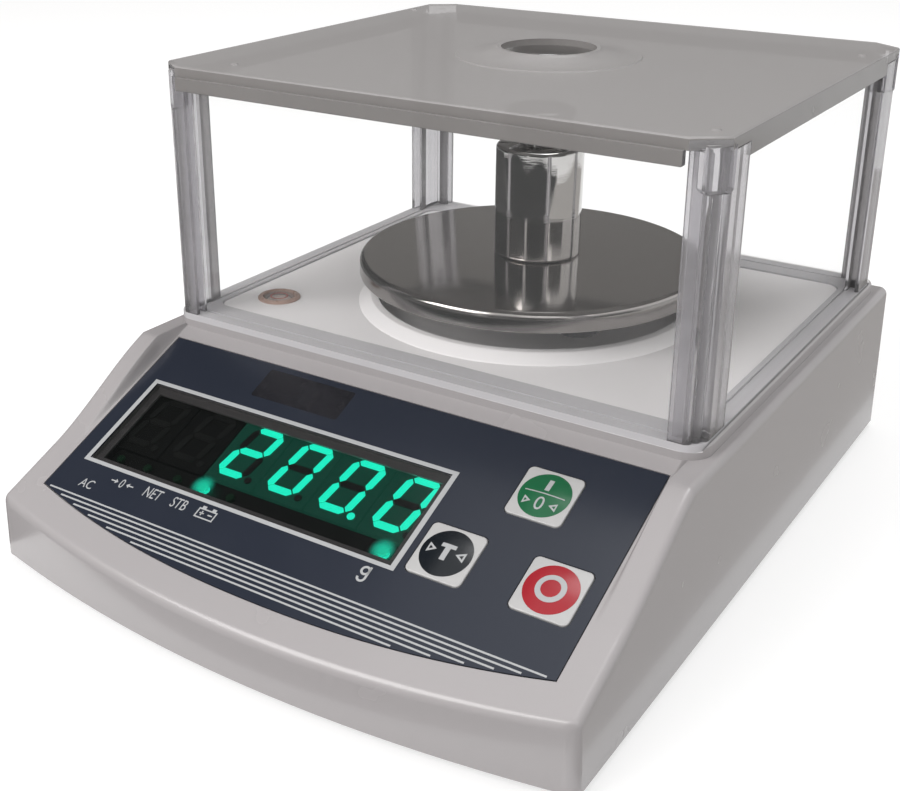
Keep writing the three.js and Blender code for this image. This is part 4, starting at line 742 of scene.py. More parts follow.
# %% [markdown]
# The plinth is the raised part behind the console. It carries the draught shield in a rebate, and the
# pan well is sunk in it, with a lip round the well and a collar round the hole of the load post.
# %% Sizes of the plinth, the well and the shield's frame
plinth_half_width = 88.9
plinth_front = -39
plinth_rear = 115.2
plinth_top = 55.7
plinth_radius = 7
plinth_edge = 0.8
plinth_hollow_margin = 14
pan_x = 0
pan_y = 33.8
well_radius = 50
well_floor = 50
lip_foot_radius = 56
lip_top_radius = 52
lip_top = 58.5
lip_edge = 0.5
collar_radius = 12
collar_wall = 2
collar_height = 4
shield_half_width = 88
shield_front = -38.9
shield_rear = 111.9
frame_rebate = 1.5
frame_thickness = 2.1
frame_side_band = 6.6
frame_end_band = 11.3
frame_radius = 5.5
frame_bottom = plinth_top - frame_rebate
frame_top = frame_bottom + frame_thickness
print("plinth:", 2 * plinth_half_width, "by", plinth_rear - plinth_front, "top at", plinth_top)

# %% [markdown]
# The housing also holds the level, the screws, the posts of the display board, the film with its
# window, the keys and the power socket. Each leaves a hole, a seat or a boss in it.
# %% Sizes of the places for other pieces
level_place = middle_of("level_vial")
level_body_radius = 5.9
level_body_depth = 5
screw_seat_top = 7
boss_radius = 4.2
boss_bottom = 9.3
screw_bore = 1.8
screw_depth = 10.6
display_post_radius = 3.5
display_post_places = [(-71, 7.5), (-71, 51), (71, 7.5), (71, 51)]
display_post_depth = 9.2
film_half_width = 82.5
film_length = 63.2
film_bulge = 9.9
film_bulge_power = 2.2
film_thickness = 0.5
window_left = -75.5
window_right = 29.5
window_lower = 13.2
window_upper = 44
pane_thickness = 1.6
pane_ledge = 2
key_side = 16
key_corner = 1.6
key_places = {"key_zero": (56.1, 46.3), "key_tare": (41.4, 21.2), "key_off": (70.6, 21.2)}
socket_x = -50
socket_z = 21
socket_barrel = 5.4
socket_flange = 7
socket_pocket = 1.4
upright = Matrix.Rotation(math.pi / 2, 4, "X")
print("places for keys:", len(key_places), "and for posts:", len(display_post_places))

# %% [markdown]
# One outline serves a piece and the seat that it lies in, because the seat is the same outline drawn
# a little larger. So each outline is a function of its margin.
# %% Outlines that a piece shares with its seat


def film_outline(margin, steps=96):
    half = film_half_width + margin
    points = []
    for k in range(steps + 1):
        share = 2 * k / steps - 1
        points.append((half * share, -film_bulge * (1 - abs(share) ** film_bulge_power) - margin))
    return points + [(half, film_length + margin), (-half, film_length + margin)]


def window_outline(margin):
    return rectangle(window_left - margin, window_right + margin,
                     window_lower - margin, window_upper + margin)


def key_outline(place, margin):
    u, v = place
    half = key_side / 2 + margin
    return rounded_rectangle(u - half, u + half, v - half, v + half, key_corner + margin)


def rear_rod(radius, depth):
    """Rod along the socket's axis, from outside the rear face inwards."""
    start = housing_rear + overrun
    return moved(rod(radius, 0, depth + overrun, 0, 0),
                 Matrix.Translation((socket_x, start, socket_z)) @ upright)


def plinth_outline(inset):
    return rounded_rectangle(-plinth_half_width, plinth_half_width, plinth_front, plinth_rear,
                             plinth_radius, inset)


def rounded_edge(top, radius, steps):
    return [(top - radius * (1 - math.sin(t)), radius * (1 - math.cos(t))) for t in arc_steps(steps)]


film_area = film_length * 2 * film_half_width
print("film covers about", round(film_area / 100), "square centimetres")

# %% [markdown]
# The plinth and the lip of the well are joined to the loft. Then the inside is cut away, with the wall
# left round the well, round the level and as bosses for the screws. Last come the seats and the holes.
# %% Build the upper housing


def upper_housing():
    edge = rounded_edge(plinth_top, plinth_edge, 5)
    plinth = levels(plinth_outline, [(ledge_height - wall, 0), *edge])
    lip = lathe([
        (0, plinth_top - wall),
        (lip_foot_radius, plinth_top - wall),
        (lip_foot_radius, plinth_top),
        (lip_foot_radius - lip_edge, plinth_top + lip_edge),
        (lip_top_radius + lip_edge, lip_top - lip_edge / 2),
        (lip_top_radius, lip_top),
        (0, lip_top),
    ], pan_x, pan_y, 160)
    outer = joined(outer_skin, plinth, lip)
    hollow = between(*housing_grids(wall, housing_bottom - overrun, False))
    roof_half = plinth_half_width - plinth_hollow_margin
    roof = prism(
        rounded_rectangle(-roof_half, roof_half, plinth_front + plinth_hollow_margin,
                          plinth_rear - plinth_hollow_margin, plinth_radius),
        ledge_height - wall - overrun,
        plinth_top - wall,
    )
    level_x, level_y = level_place.x, level_place.y
    level_seat = plinth_top - level_body_depth - clearance
    kept = [
        rod(well_radius + wall, well_floor - wall, plinth_top, pan_x, pan_y, 160),
        rod(level_body_radius + clearance + wall, level_seat - wall, plinth_top, level_x, level_y),
    ]
    screw_places = [middle_of(name) for name in nodes if name.startswith("housing_screw")]
    kept += [rod(boss_radius, boss_bottom, ledge_height, place.x, place.y) for place in screw_places]
    kept += [on_console(rod(display_post_radius, -display_post_depth, 0, u, v))
             for u, v in display_post_places]
    hollow = cut(joined(hollow, roof), *kept)
    rebate = prism(
        rounded_rectangle(-shield_half_width - clearance, shield_half_width + clearance,
                          shield_front - clearance, shield_rear + clearance, frame_radius + clearance),
        frame_bottom,
        plinth_top + overrun,
        [rounded_rectangle(-shield_half_width + frame_side_band + clearance,
                           shield_half_width - frame_side_band - clearance,
                           shield_front + frame_end_band + clearance,
                           shield_rear - frame_end_band - clearance, frame_radius - clearance)],
    )
    film_seat = on_console(prism(film_outline(clearance), -film_thickness - clearance, overrun))
    pane_seat = on_console(prism(window_outline(clearance), -pane_thickness - clearance, overrun))
    pane_hole = on_console(prism(window_outline(-pane_ledge), -wall - overrun, overrun))
    key_holes = [on_console(prism(key_outline(place, clearance), -wall - overrun, overrun))
                 for place in key_places.values()]
    screw_bores = [rod(screw_bore, 0, screw_seat_top + screw_depth, place.x, place.y)
                   for place in screw_places]
    shell = cut(
        outer,
        hollow,
        rod(well_radius, well_floor, lip_top + overrun, pan_x, pan_y, 160),
        rod(collar_radius, well_floor - wall - overrun, lip_top, pan_x, pan_y, 96),
        rebate,
        rod(level_body_radius + clearance, level_seat, plinth_top + overrun, level_x, level_y),
        film_seat,
        pane_seat,
        pane_hole,
        *key_holes,
        *screw_bores,
        rear_rod(socket_barrel + clearance, wall + overrun),
        rear_rod(socket_flange + clearance, socket_pocket),
    )
    collar = lathe([
        (collar_radius, well_floor - wall),
        (collar_radius + collar_wall, well_floor - wall),
        (collar_radius + collar_wall, well_floor + collar_height),
        (collar_radius, well_floor + collar_height),
        (collar_radius, well_floor - wall),
    ], pan_x, pan_y, 96)
    whole = joined(shell, collar)
    # Faces inside the shield's frame, above the well's floor, take the lighter copy: painted light against
    # the lid's shade.
    for face in whole.faces:
        x, y, z = face.calc_center_median()
        inside = abs(x) < shield_half_width - frame_side_band and shield_front < y < shield_rear
        face.material_index = 1 if inside and z > well_floor - overrun / 2 else 0
    return whole


housing_piece = piece("housing_shell", upper_housing(), "housing", [casing, plinth_painted_light],
                      ["upper_housing"], True)
print("housing:", len(housing_piece.data.polygons), "faces")

# %% [markdown]
# The console film is a thin printed sheet in a shallow seat. The print is shown as skins a few hundredths
# of a millimetre thick, each cut to the outline of its ink.
# %% Lay the film and print its frame line
print_low = -0.02
print_high = 0.03
line_outer = (-77.3, 31.3, 11.7, 45.6)
patch_box = (-43.5, -12.5, 50.2, 61.2)
patch_corner = 0.8
pane_corner = 0.6
pane_edge = 0.15
pane_foot_edge = 0.1


def film():
    holes = [window_outline(clearance)] + [key_outline(place, clearance) for place in key_places.values()]
    return on_console(prism(film_outline(0), -film_thickness, 0, holes))


def printed(outline, holes=()):
    return prism(outline, print_low, print_high, holes)


piece("film_sheet", film(), "housing", [film_navy], ["console_film"])
frame_line = printed(rectangle(*line_outer), [window_outline(clearance)])
piece("film_frame_line", on_console(frame_line), "housing", [film_ink])
patch = printed(rounded_rectangle(*patch_box, patch_corner))
piece("film_patch", on_console(patch), "housing", [plate_patch])
pane = levels(
    lambda inset: rounded_rectangle(window_left, window_right, window_lower, window_upper,
                                    pane_corner, inset, 4),
    [(-pane_thickness, pane_foot_edge), (-pane_thickness + pane_foot_edge, 0),
     (-pane_edge, 0), (0, pane_edge)],
)
piece("window_pane", on_console(pane), "housing", [smoked], ["display_window"])
print("film is", 2 * film_half_width, "by", film_length + film_bulge)

# %% [markdown]
# What repeats on the object is set on points by Geometry Nodes. A group has named inputs for its sizes,
# and it ends by making its instances real and giving them their material, because the export drops
# instances. Its result is taken as a plain shape, so that no modifier stays.
# %% Helpers for Geometry Nodes


def new_group(name, inputs):
    """Node group with its inputs, its input node's sockets and its output node."""
    group = bpy.data.node_groups.new(name, "GeometryNodeTree")
    for label, kind in inputs.items():
        group.interface.new_socket(label, in_out="INPUT", socket_type=f"NodeSocket{kind}")
    group.interface.new_socket("Geometry", in_out="OUTPUT", socket_type="NodeSocketGeometry")
    return group, group.nodes.new("NodeGroupInput").outputs, group.nodes.new("NodeGroupOutput")


def math_node(group, operation, first, second):
    return add_node(group, "ShaderNodeMath", {0: first, 1: second}, operation=operation).outputs[0]


def set_on_points(group, given, result, points, instance, scale=(1, 1, 1)):
    """Ends a group: an instance on each point, made real and given the material."""
    inputs = {"Points": points, "Instance": instance, "Scale": scale}
    place = add_node(group, "GeometryNodeInstanceOnPoints", inputs)
    real = add_node(group, "GeometryNodeRealizeInstances", {0: place.outputs["Instances"]})
    inputs = {"Geometry": real.outputs[0], "Material": given["Material"]}
    paint = add_node(group, "GeometryNodeSetMaterial", inputs)
    feed(group, result, {0: paint.outputs[0]})
    return group


def grown(name, group, values):
    """Runs a node group on an empty mesh and gives back the plain mesh as a shape in millimetres."""
    host = bpy.data.objects.new(name, bpy.data.meshes.new(name))
    modifier = host.modifiers.new("grow", "NODES")
    modifier.node_group = group
    for item in group.interface.items_tree:
        if item.in_out == "INPUT" and item.name in values:
            modifier[item.identifier] = values[item.name]
    scene.collection.objects.link(host)
    return evaluated(host)


def evaluated(host):
    """Shape of what an object shows. The object is removed."""
    bpy.context.view_layer.update()
    host_now = host.evaluated_get(bpy.context.evaluated_depsgraph_get())
    plain_mesh = bpy.data.meshes.new_from_object(host_now)
    shape = bmesh.new()
    shape.from_mesh(plain_mesh)
    bpy.data.objects.remove(host)
    bpy.data.meshes.remove(plain_mesh)
    return shape


# %% [markdown]
# Thin stripes fill the bulge of the film under its legends, and the curved edge cuts each one shorter.
# That is a rule: a line of points, one flat bar on each, and a length that follows the edge's formula.
# %% Draw the stripes with Geometry Nodes
stripe_count = 6
stripe_pitch = 1.42
stripe_width = 0.5


def stripe_group():
    group, given, result = new_group("film_stripes", {
        "Count": "Int",
        "Pitch": "Float",
        "Width": "Float",
        "Half length": "Float",
        "Bulge": "Float",
        "Bulge power": "Float",
        "Material": "Material",
    })
    spot = add_node(group, "GeometryNodeInputIndex").outputs[0]
    depth = math_node(group, "MULTIPLY", spot, given["Pitch"])
    lowest = math_node(group, "ADD", depth, given["Width"])
    left_over = math_node(group, "SUBTRACT", 1, math_node(group, "DIVIDE", lowest, given["Bulge"]))
    root = math_node(group, "DIVIDE", 1, given["Bulge power"])
    reach = math_node(group, "POWER", math_node(group, "MAXIMUM", left_over, 0), root)
    half = math_node(group, "MULTIPLY", reach, given["Half length"])
    length = math_node(group, "MULTIPLY", half, 2)
    ink = print_high - print_low
    size = add_node(group, "ShaderNodeCombineXYZ", {"X": length, "Y": given["Width"], "Z": ink})
    down = math_node(group, "MULTIPLY", depth, -1)
    shift = add_node(group, "ShaderNodeCombineXYZ", {"Y": down}).outputs[0]
    line = add_node(group, "GeometryNodeMeshLine", {"Count": given["Count"]}).outputs["Mesh"]
    seat = add_node(group, "GeometryNodeSetPosition", {"Geometry": line, "Position": shift}).outputs[0]
    block = add_node(group, "GeometryNodeMeshCube").outputs["Mesh"]
    return set_on_points(group, given, result, seat, block, size.outputs[0])


stripes = grown("stripes", stripe_group(), {
    "Count": stripe_count,
    "Pitch": stripe_pitch,
    "Width": stripe_width,
    "Half length": film_half_width - 0.4,
    "Bulge": film_bulge,
    "Bulge power": film_bulge_power,
    "Material": film_ink,
})
piece("film_stripes", on_console(stripes), "housing", [film_ink])
print("stripes:", stripe_count)

# %% [markdown]
# The legends are the plain signs that any balance carries: the names of the lamps and the unit.
# Letters start as text, become a mesh, and are raised to the thickness of ink.
# %% Write the legends


def lettering(words, height, u, v, narrow):
    """Flat letters centred on a point of the console, as a shape in millimetres."""
    curve = bpy.data.curves.new(words, "FONT")
    curve.body = words
    curve.align_x = "CENTER"
    curve.size = height / 0.7
    curve.extrude = (print_high - print_low) / 2
    holder = bpy.data.objects.new("letters", curve)
    scene.collection.objects.link(holder)
    shape = evaluated(holder)
    bpy.data.curves.remove(curve)
    place = Matrix.Translation((u, v - height / 2, (print_high + print_low) / 2))
    return moved(shape, place @ Matrix.Diagonal((narrow, 1, 1, 1)))


def bar(u0, u1, v0, v1):
    return printed(rectangle(u0, u1, v0, v1))


def arrow(tip, tail, v, head=1.0):
    """Small arrow along the row, its point at tip."""
    way = math.copysign(1, tip - tail)
    outline = [(tip, v), (tip - way * head, v + head * 0.8), (tip - way * head, v + 0.2), (tail, v + 0.2),
               (tail, v - 0.2), (tip - way * head, v - 0.2), (tip - way * head, v - head * 0.8)]
    return printed(outline)


def letter_g(u, v):
    """Upright g with a plain bowl and hook, as the unit is printed."""
    outer, inner = 1.4, 0.75
    hook_v = v - 1.5
    quarter = [(math.cos(turn), -math.sin(turn)) for turn in arc_steps(8)]
    rest = [(-math.sin(turn), -math.cos(turn)) for turn in arc_steps(6)]
    along = quarter + rest
    back = rest[::-1] + quarter[::-1]
    hook = [(u + outer * x, hook_v + outer * y) for x, y in along]
    hook += [(u + inner * x, hook_v + inner * y) for x, y in back]
    bowl = printed(circle(u, v + 0.6, outer), [circle(u, v + 0.6, inner)])
    return [bowl, bar(u + inner, u + outer, hook_v, v + 2), printed(hook)]


legend_height = 3
zero_u, zero_v = -58.9, 8.4
battery_u, battery_v = -27.7, 8.6
legends = [
    lettering("AC", legend_height, -69.4, 4.6, 0.85),
    lettering("0", legend_height, zero_u, zero_v, 0.75),
    arrow(zero_u - 1.6, zero_u - 4.2, zero_v),
    arrow(zero_u + 1.6, zero_u + 4.2, zero_v),
    lettering("NET", legend_height * 1.15, -47.4, 8.8, 0.68),
    lettering("STB", legend_height * 1.15, -37.5, 8.7, 0.68),
    *letter_g(24.6, 8.6),
    printed(rectangle(battery_u - 3.2, battery_u + 3.2, battery_v - 1.9, battery_v + 1.3),
            [rectangle(battery_u - 2.8, battery_u + 2.8, battery_v - 1.5, battery_v + 0.9)]),
    bar(battery_u - 2.4, battery_u - 1.1, battery_v + 1.3, battery_v + 2.1),
    bar(battery_u + 1.1, battery_u + 2.4, battery_v + 1.3, battery_v + 2.1),
    bar(battery_u - 2.2, battery_u - 0.7, battery_v - 0.45, battery_v - 0.05),
    bar(battery_u - 1.65, battery_u - 1.25, battery_v - 1.0, battery_v + 0.5),
    bar(battery_u + 0.7, battery_u + 2.2, battery_v - 0.45, battery_v - 0.05),
]
piece("film_legends", on_console(gathered(*legends)), "housing", [film_ink])
print("legends:", len(legends), "marks")

# %% [markdown]
# Each key is a cap in its own aperture, with a light square and a softly domed disc that a finger finds.
# %% Shape the caps and the discs
key_proud = 0.3
key_skirt = 0.6
flange_thickness = 1.2
flange_reach = 1.5
plunger_radius = 2.5
plunger_length = 1.9
disc_radius = 7
disc_dome = 0.55
disc_rim = 0.06
symbol_lift = 0.04


def dome_height(distance):
    share = clamped(distance / disc_radius)
    return key_proud + disc_rim + disc_dome * (1 - share * share)


def key_cap(place):
    """Square cap with a soft edge, a flange that keeps it in the wall, and the plunger."""
    u, v = place
    cap = levels(
        lambda inset: rounded_rectangle(u - key_side / 2, u + key_side / 2, v - key_side / 2,
                                        v + key_side / 2, key_corner, inset),
        [(-wall - clearance - key_skirt, 0), (0, 0), (key_proud * 0.5, 0.05),
         (key_proud * 0.85, 0.17), (key_proud, 0.4)],
    )
    flange_low = -wall - clearance - flange_thickness
    flange = prism(key_outline(place, flange_reach), flange_low, -wall - clearance)
    plunger = rod(plunger_radius, flange_low - plunger_length, flange_low, u, v)
    return joined(cap, flange, plunger)


def key_disc(place):
    u, v = place
    rings = [k / 8 for k in range(9)]
    profile = [(0, key_proud - 0.1), (disc_radius, key_proud - 0.1)]
    profile += [(disc_radius * share, dome_height(disc_radius * share)) for share in reversed(rings)]
    return lathe(profile, u, v)


print("a disc stands", round(dome_height(0), 2), "mm out of the film")

# %% [markdown]
# A symbol is drawn flat like the rest of the print. It is cut fine enough to bend, then laid over the
# dome of its disc. The three keys differ in their symbols and in the colour of the disc.
# %% Draw the symbols and set the keys


def on_disc(shape, place):
    """Lays a flat symbol over the dome, after cutting it fine enough to bend."""
    u, v = place
    bmesh.ops.triangulate(shape, faces=shape.faces)
    long_edges = [edge for edge in shape.edges if edge.calc_length() > 1.2]
    bmesh.ops.subdivide_edges(shape, edges=long_edges, cuts=3)
    for corner in shape.verts:
        distance = math.hypot(corner.co.x - u, corner.co.y - v)
        corner.co.z += dome_height(distance) + symbol_lift / 2
    return shape


def triangle_mark(u, v, way, size=1.5):
    """Small open triangle pointing along the row."""
    outer = [(u - way * size * 0.8, v + size), (u - way * size * 0.8, v - size), (u + way * size * 0.9, v)]
    inner_share = 0.42
    inner = [(u - way * 0.25 + (x - u) * inner_share, v + (y - v) * inner_share) for x, y in outer]
    if way < 0:
        outer.reverse()
        inner.reverse()
    return printed(outer, [inner])


def ring_mark(u, v, outer, inner):
    return printed(circle(u, v, outer), [circle(u, v, inner)])


def key_symbols(name, place):
    u, v = place
    if name == "key_zero":
        return [
            bar(u - 0.65, u + 0.65, v + 1.2, v + 4.8),
            bar(u - 5.6, u + 5.6, v + 0.05, v + 0.35),
            lettering("0", 4.0, u, v - 2.9, 0.95),
            triangle_mark(u - 3.7, v - 2.9, 1, 1.25),
            triangle_mark(u + 3.7, v - 2.9, -1, 1.25),
        ]
    if name == "key_tare":
        return [
            bar(u - 0.75, u + 0.75, v - 2.5, v + 2.5),
            bar(u - 2.1, u + 2.1, v + 1.3, v + 2.5),
            triangle_mark(u - 4.1, v + 0.1, 1),
            triangle_mark(u + 4.1, v + 0.1, -1),
        ]
    return [ring_mark(u, v, 3.9, 2.5)]


for key_name, disc_finish in (("key_zero", key_green), ("key_tare", key_navy), ("key_off", key_red)):
    spot = key_places[key_name]
    piece(f"{key_name}_cap", on_console(key_cap(spot)), key_name, [key_pale], [key_name])
    piece(f"{key_name}_disc", on_console(key_disc(spot)), key_name, [disc_finish])
    marks = gathered(*[on_disc(mark, spot) for mark in key_symbols(key_name, spot)])
    piece(f"{key_name}_symbol", on_console(marks), key_name, [film_ink])
print("keys:", ", ".join(key_places))

# %% [markdown]
# Behind the window stand six seven-segment modules. Two are dark and four are lit.
# A segment is a bar with pointed ends, leaning a little, and the same bar is used for all of them.
# %% Make the digits
digit_face_depth = 3.3
digit_module_depth = 5.9
digit_module_width = 17.2
digit_module_lower = 21.4
digit_module_height = 24
digit_height = 18.8
digit_width = 10.8
digit_slant = 3
digit_pitch = 17.66
first_digit_left = -74.1
segment_width = 2.1
segment_gap = 0.3
segment_proud = 0.3
segment_sink = 0.1
module_corner = 0.5
point_gap = 1.45
point_rise = 0.55
point_radius = 1.1
reading = ["", "", "abdeg", "abcdef", "abcdef.", "abcdef"]


def segment_outline(start, end, left, lower):
    (x0, y0), (x1, y1) = start, end
    length = math.hypot(x1 - x0, y1 - y0)
    along = ((x1 - x0) / length, (y1 - y0) / length)
    half = segment_width / 2
    steps = [(segment_gap, 0), (segment_gap + half, -half), (length - segment_gap - half, -half),
             (length - segment_gap, 0), (length - segment_gap - half, half), (segment_gap + half, half)]
    points = []
    for run, side in steps:
        x = x0 + along[0] * run - along[1] * side
        y = y0 + along[1] * run + along[0] * side
        points.append((left + x + digit_slant * y / digit_height, lower + y))
    return points


def digit(order, lit_names):
    left = first_digit_left + order * digit_pitch
    lower = digit_module_lower + (digit_module_height - digit_height) / 2
    middle = left + (digit_width + digit_slant) / 2
    x0 = segment_width / 2
    x1 = digit_width - x0
    y0 = x0
    y1 = digit_height / 2
    y2 = digit_height - x0
    places = {
        "a": ((x0, y2), (x1, y2)), "b": ((x1, y1), (x1, y2)), "c": ((x1, y0), (x1, y1)),
        "d": ((x0, y0), (x1, y0)), "e": ((x0, y0), (x0, y1)), "f": ((x0, y1), (x0, y2)),
        "g": ((x0, y1), (x1, y1)),
    }
    face = -digit_face_depth
    half = digit_module_width / 2
    outline = rounded_rectangle(middle - half, middle + half, digit_module_lower,
                                digit_module_lower + digit_module_height, module_corner, 0, 3)
    shapes = [prism(outline, face - digit_module_depth, face - segment_proud)]
    indices = [0]
    marks = {name: segment_outline(start, end, left, lower) for name, (start, end) in places.items()}
    marks["."] = circle(left + digit_width + point_gap, lower + point_rise, point_radius, 32)
    for name, outline in marks.items():
        shapes.append(prism(outline, face - segment_proud - segment_sink, face))
        indices.append(2 if name in lit_names else 1)
    return on_console(gathered(*shapes, indices=indices))


for order, lit_names in enumerate(reading):
    # A lit module's face takes the painted glow and a dark one its plain black.
    face_finish = painted_glow_face if lit_names else module_face
    piece(f"digit_module_{order + 1}", digit(order, lit_names), "housing",
          [face_finish, ghost_segment, lit_green], [f"digit_{order + 1}"])
print("digits lit:", sum(1 for lit_names in reading if lit_names))

# %% [markdown]
# A black mask covers the board beside the modules, and two of the row's lamps shine up against it.
# The light of a lamp fades out round its lens. A flat disc shows that: how see-through it is at a point
# follows the distance from the lamp, which a Mapping node measures in the object's own coordinates.
# %% Light the lamps
lamp_row = 17.7
lamp_radius = 1.5
lamp_top = -2.6
halo_radius = 4.4
halo_low = lamp_top + 0.1
halo_high = lamp_top + 0.15
mask_depth = -4.4
mask_thickness = 0.3
mask_low = 15.5
lit_lamps = (-37.3, 23.6)


def fading_light(name, centre, radius, tint, strength):
    material = glowing(name, tint, strength)
    tree = material.node_tree
    inputs = {"Vector": object_place(tree), "Location": -centre * mm}
    away = add_node(tree, "ShaderNodeMapping", inputs).outputs[0]
    distance = add_node(tree, "ShaderNodeVectorMath", {0: away}, operation="LENGTH").outputs["Value"]
    fade = add_range(tree, distance, 0.85, 0, 0, radius * mm, interpolation_type="SMOOTHERSTEP")
    return feed_shader(material, {"Alpha": fade})


mask = prism(rectangle(window_left + pane_ledge, window_right - pane_ledge, mask_low,
                       digit_module_lower - clearance), mask_depth - mask_thickness, mask_depth)
piece("display_mask", on_console(mask), "housing", [module_face])
for order, u in enumerate(lit_lamps):
    lens = lathe([(0, mask_depth), (lamp_radius, mask_depth), (lamp_radius, lamp_top - 0.5),
                  (lamp_radius * 0.7, lamp_top - 0.15), (0, lamp_top)], u, lamp_row, 40)
    piece(f"lamp_lens_{order + 1}", on_console(lens), "housing", [lit_green])
    spot = console @ Vector((u, lamp_row, halo_low))
    light = fading_light(f"lamp_light_{order + 1}", spot, halo_radius, (0.012, 0.62, 0.42), 2)
    disc = rod(halo_radius, halo_low, halo_high, u, lamp_row)
    piece(f"lamp_halo_{order + 1}", on_console(disc), "housing", [light])
print("lamps lit at", lit_lamps)

# %% [markdown]
# The pan is a polished steel disc with a turned-down rim. One lathe profile makes it,
# with the bend of the edge as a quarter round and the hem as a half round.
# %% Turn the pan
pan_low, pan_high = box_of("pan")
pan_radius = (pan_high.x - pan_low.x) / 2
pan_top = pan_high.z
pan_rim = 6
pan_sheet = 0.8
pan_edge = 2.2


def pan_profile():
    outer = [(pan_radius - pan_edge * (1 - math.sin(t)), pan_top - pan_edge * (1 - math.cos(t)))
             for t in arc_steps(8)]
    bend = pan_edge - pan_sheet
    under = pan_top - pan_sheet
    inner = [(pan_radius - pan_sheet - bend * (1 - math.sin(t)), under - bend * (1 - math.cos(t)))
             for t in reversed(arc_steps(8))]
    foot = pan_top - pan_rim
    hem = [(pan_radius - pan_sheet / 2 * (1 - math.cos(math.pi * k / 6)),
            foot + pan_sheet / 2 * (1 - math.sin(math.pi * k / 6))) for k in range(7)]
    return [(0, under), (0, pan_top), *outer, *hem, *inner, (0, under)]


pan_steel = finish_recipe("pan_steel", (0.45, 0.425, 0.41), 0.03, 14, (0.09, 0.11), 600, 0, Metallic=1)
# The rim's upright faces get a darker copy of the pan's steel: painted shade that dims the rim's reflection.
rim_painted_shade = finish_recipe("pan_rim_painted_shade", (0.3, 0.285, 0.275), 0.04, 14, (0.16, 0.2), 600, 0, Metallic=1)
pan_shape = lathe(pan_profile(), pan_x, pan_y, 192)
# Faces that look sideways take the darker rim copy.
for face in pan_shape.faces:
    face.material_index = 1 if abs(face.normal.z) < 0.6 else 0
piece("pan_disc", pan_shape, "pan", [pan_steel, rim_painted_shade], ["pan"])
print("pan", round(2 * pan_radius, 1), "mm across, top at", round(pan_top, 1))

# %% [markdown]
# The knob weight is turned metal under bright plating, with fine scratches.
# %% Turn the weight
weight_low, weight_high = box_of("knob_weight")
weight_x = (weight_low.x + weight_high.x) / 2
weight_y = (weight_low.y + weight_high.y) / 2
weight_radius = (weight_high.x - weight_low.x) / 2
weight_body = 35.4
weight_edge = 1.2
weight_neck = 6.5
weight_neck_height = 2.8
weight_recess = 0.5
weight_recess_radius = 10.5
knob_radius = 11.2
knob_edge = 2.4


def rounded_corner(radius, height, size, start, steps=5):
    """Quarter round in a lathe profile, centred size inside the corner. start is its first quarter turn."""
    turns = [start + k / steps * math.pi / 2 for k in range(steps + 1)]
    return [(radius + size * math.cos(turn), height + size * math.sin(turn)) for turn in turns]


def weight_profile():
    foot = weight_low.z
    shoulder = foot + weight_body
    neck_top = shoulder + weight_neck_height
    top = weight_high.z
    return [
        (0, foot + weight_recess),
        (weight_recess_radius, foot + weight_recess),
        (weight_recess_radius + 0.2, foot),
        *rounded_corner(weight_radius - weight_edge, foot + weight_edge, weight_edge, -math.pi / 2),
        *rounded_corner(weight_radius - weight_edge, shoulder - weight_edge, weight_edge, 0),
        (weight_neck + 0.8, shoulder),
        (weight_neck + 0.2, shoulder + 0.3),
        (weight_neck, shoulder + 1),
        (weight_neck, neck_top - 1),
        (weight_neck + 0.7, neck_top - 0.3),
        *rounded_corner(knob_radius - knob_edge, neck_top + knob_edge, knob_edge, -math.pi / 2),
        *rounded_corner(knob_radius - knob_edge, top - knob_edge, knob_edge, 0),
        (0, top),
    ]


def plating():
    """Bright plating with fine scratches and cloudy finger marks that dull it."""
    material = finish_recipe("weight_plating", (0.58, 0.57, 0.56), 0.04, 60, grain=400, lift=0,
                             roughness=(0.03, 0.07), Metallic=1)
    tree = material.node_tree
    place = object_place(tree)
    scratches = add_noise(tree, place, 260, 2, (1, 1, 14))
    return feed_shader(material, {
        "Roughness": add_range(tree, add_noise(tree, place, 130, 6), 0.03, 0.12, 0.6, 0.66),
        "Normal": add_bump(tree, scratches, 0.015),
    })


weight_shape = lathe(weight_profile(), weight_x, weight_y, 128)
piece("weight_body", weight_shape, "weight", [plating()], ["knob_weight"])
weight_height = weight_high.z - weight_low.z
print("weight", round(2 * weight_radius, 1), "mm across and", round(weight_height, 1), "high")

# %% [markdown]
# The bubble level sits in the plinth: a brown ring, a clear vial, a red circle and the bubble itself.
# %% Fit the level
level_x, level_y = level_place.x, level_place.y
vial_radius = 4.9
holder_radius = 6.9
holder_rise = 0.9
level_bottom = plinth_top - level_body_depth
vial_wall = 0.8
vial_top = plinth_top + 0.5
fluid_gap = 0.3
fluid_top = vial_top - vial_wall - fluid_gap
bubble_radius = 2.2
circle_outer = 2.95
circle_inner = 2.45
circle_thickness = 0.06
holder = lathe([
    (vial_radius + clearance, level_bottom),
    (level_body_radius, level_bottom),
    (level_body_radius, plinth_top),
    (holder_radius, plinth_top + 0.02),
    (holder_radius, plinth_top + 0.3),
    (holder_radius - 0.35, plinth_top + 0.65),
    (level_body_radius, plinth_top + holder_rise),
    (vial_radius + clearance + 0.2, plinth_top + holder_rise),
    (vial_radius + clearance, plinth_top + holder_rise - 0.2),
    (vial_radius + clearance, level_bottom),
], level_x, level_y)
piece("level_ring", holder, "housing", [level_brown], ["level_holder"])
vial = lathe([
    (0, vial_top), (vial_radius - 0.3, vial_top), (vial_radius, vial_top - 0.25),
    (vial_radius, level_bottom), (vial_radius - vial_wall, level_bottom),
    (vial_radius - vial_wall, vial_top - vial_wall), (0, vial_top - vial_wall),
], level_x, level_y)
piece("level_glass", vial, "housing", [vial_clear], ["level_vial"])
fluid_radius = vial_radius - vial_wall - fluid_gap
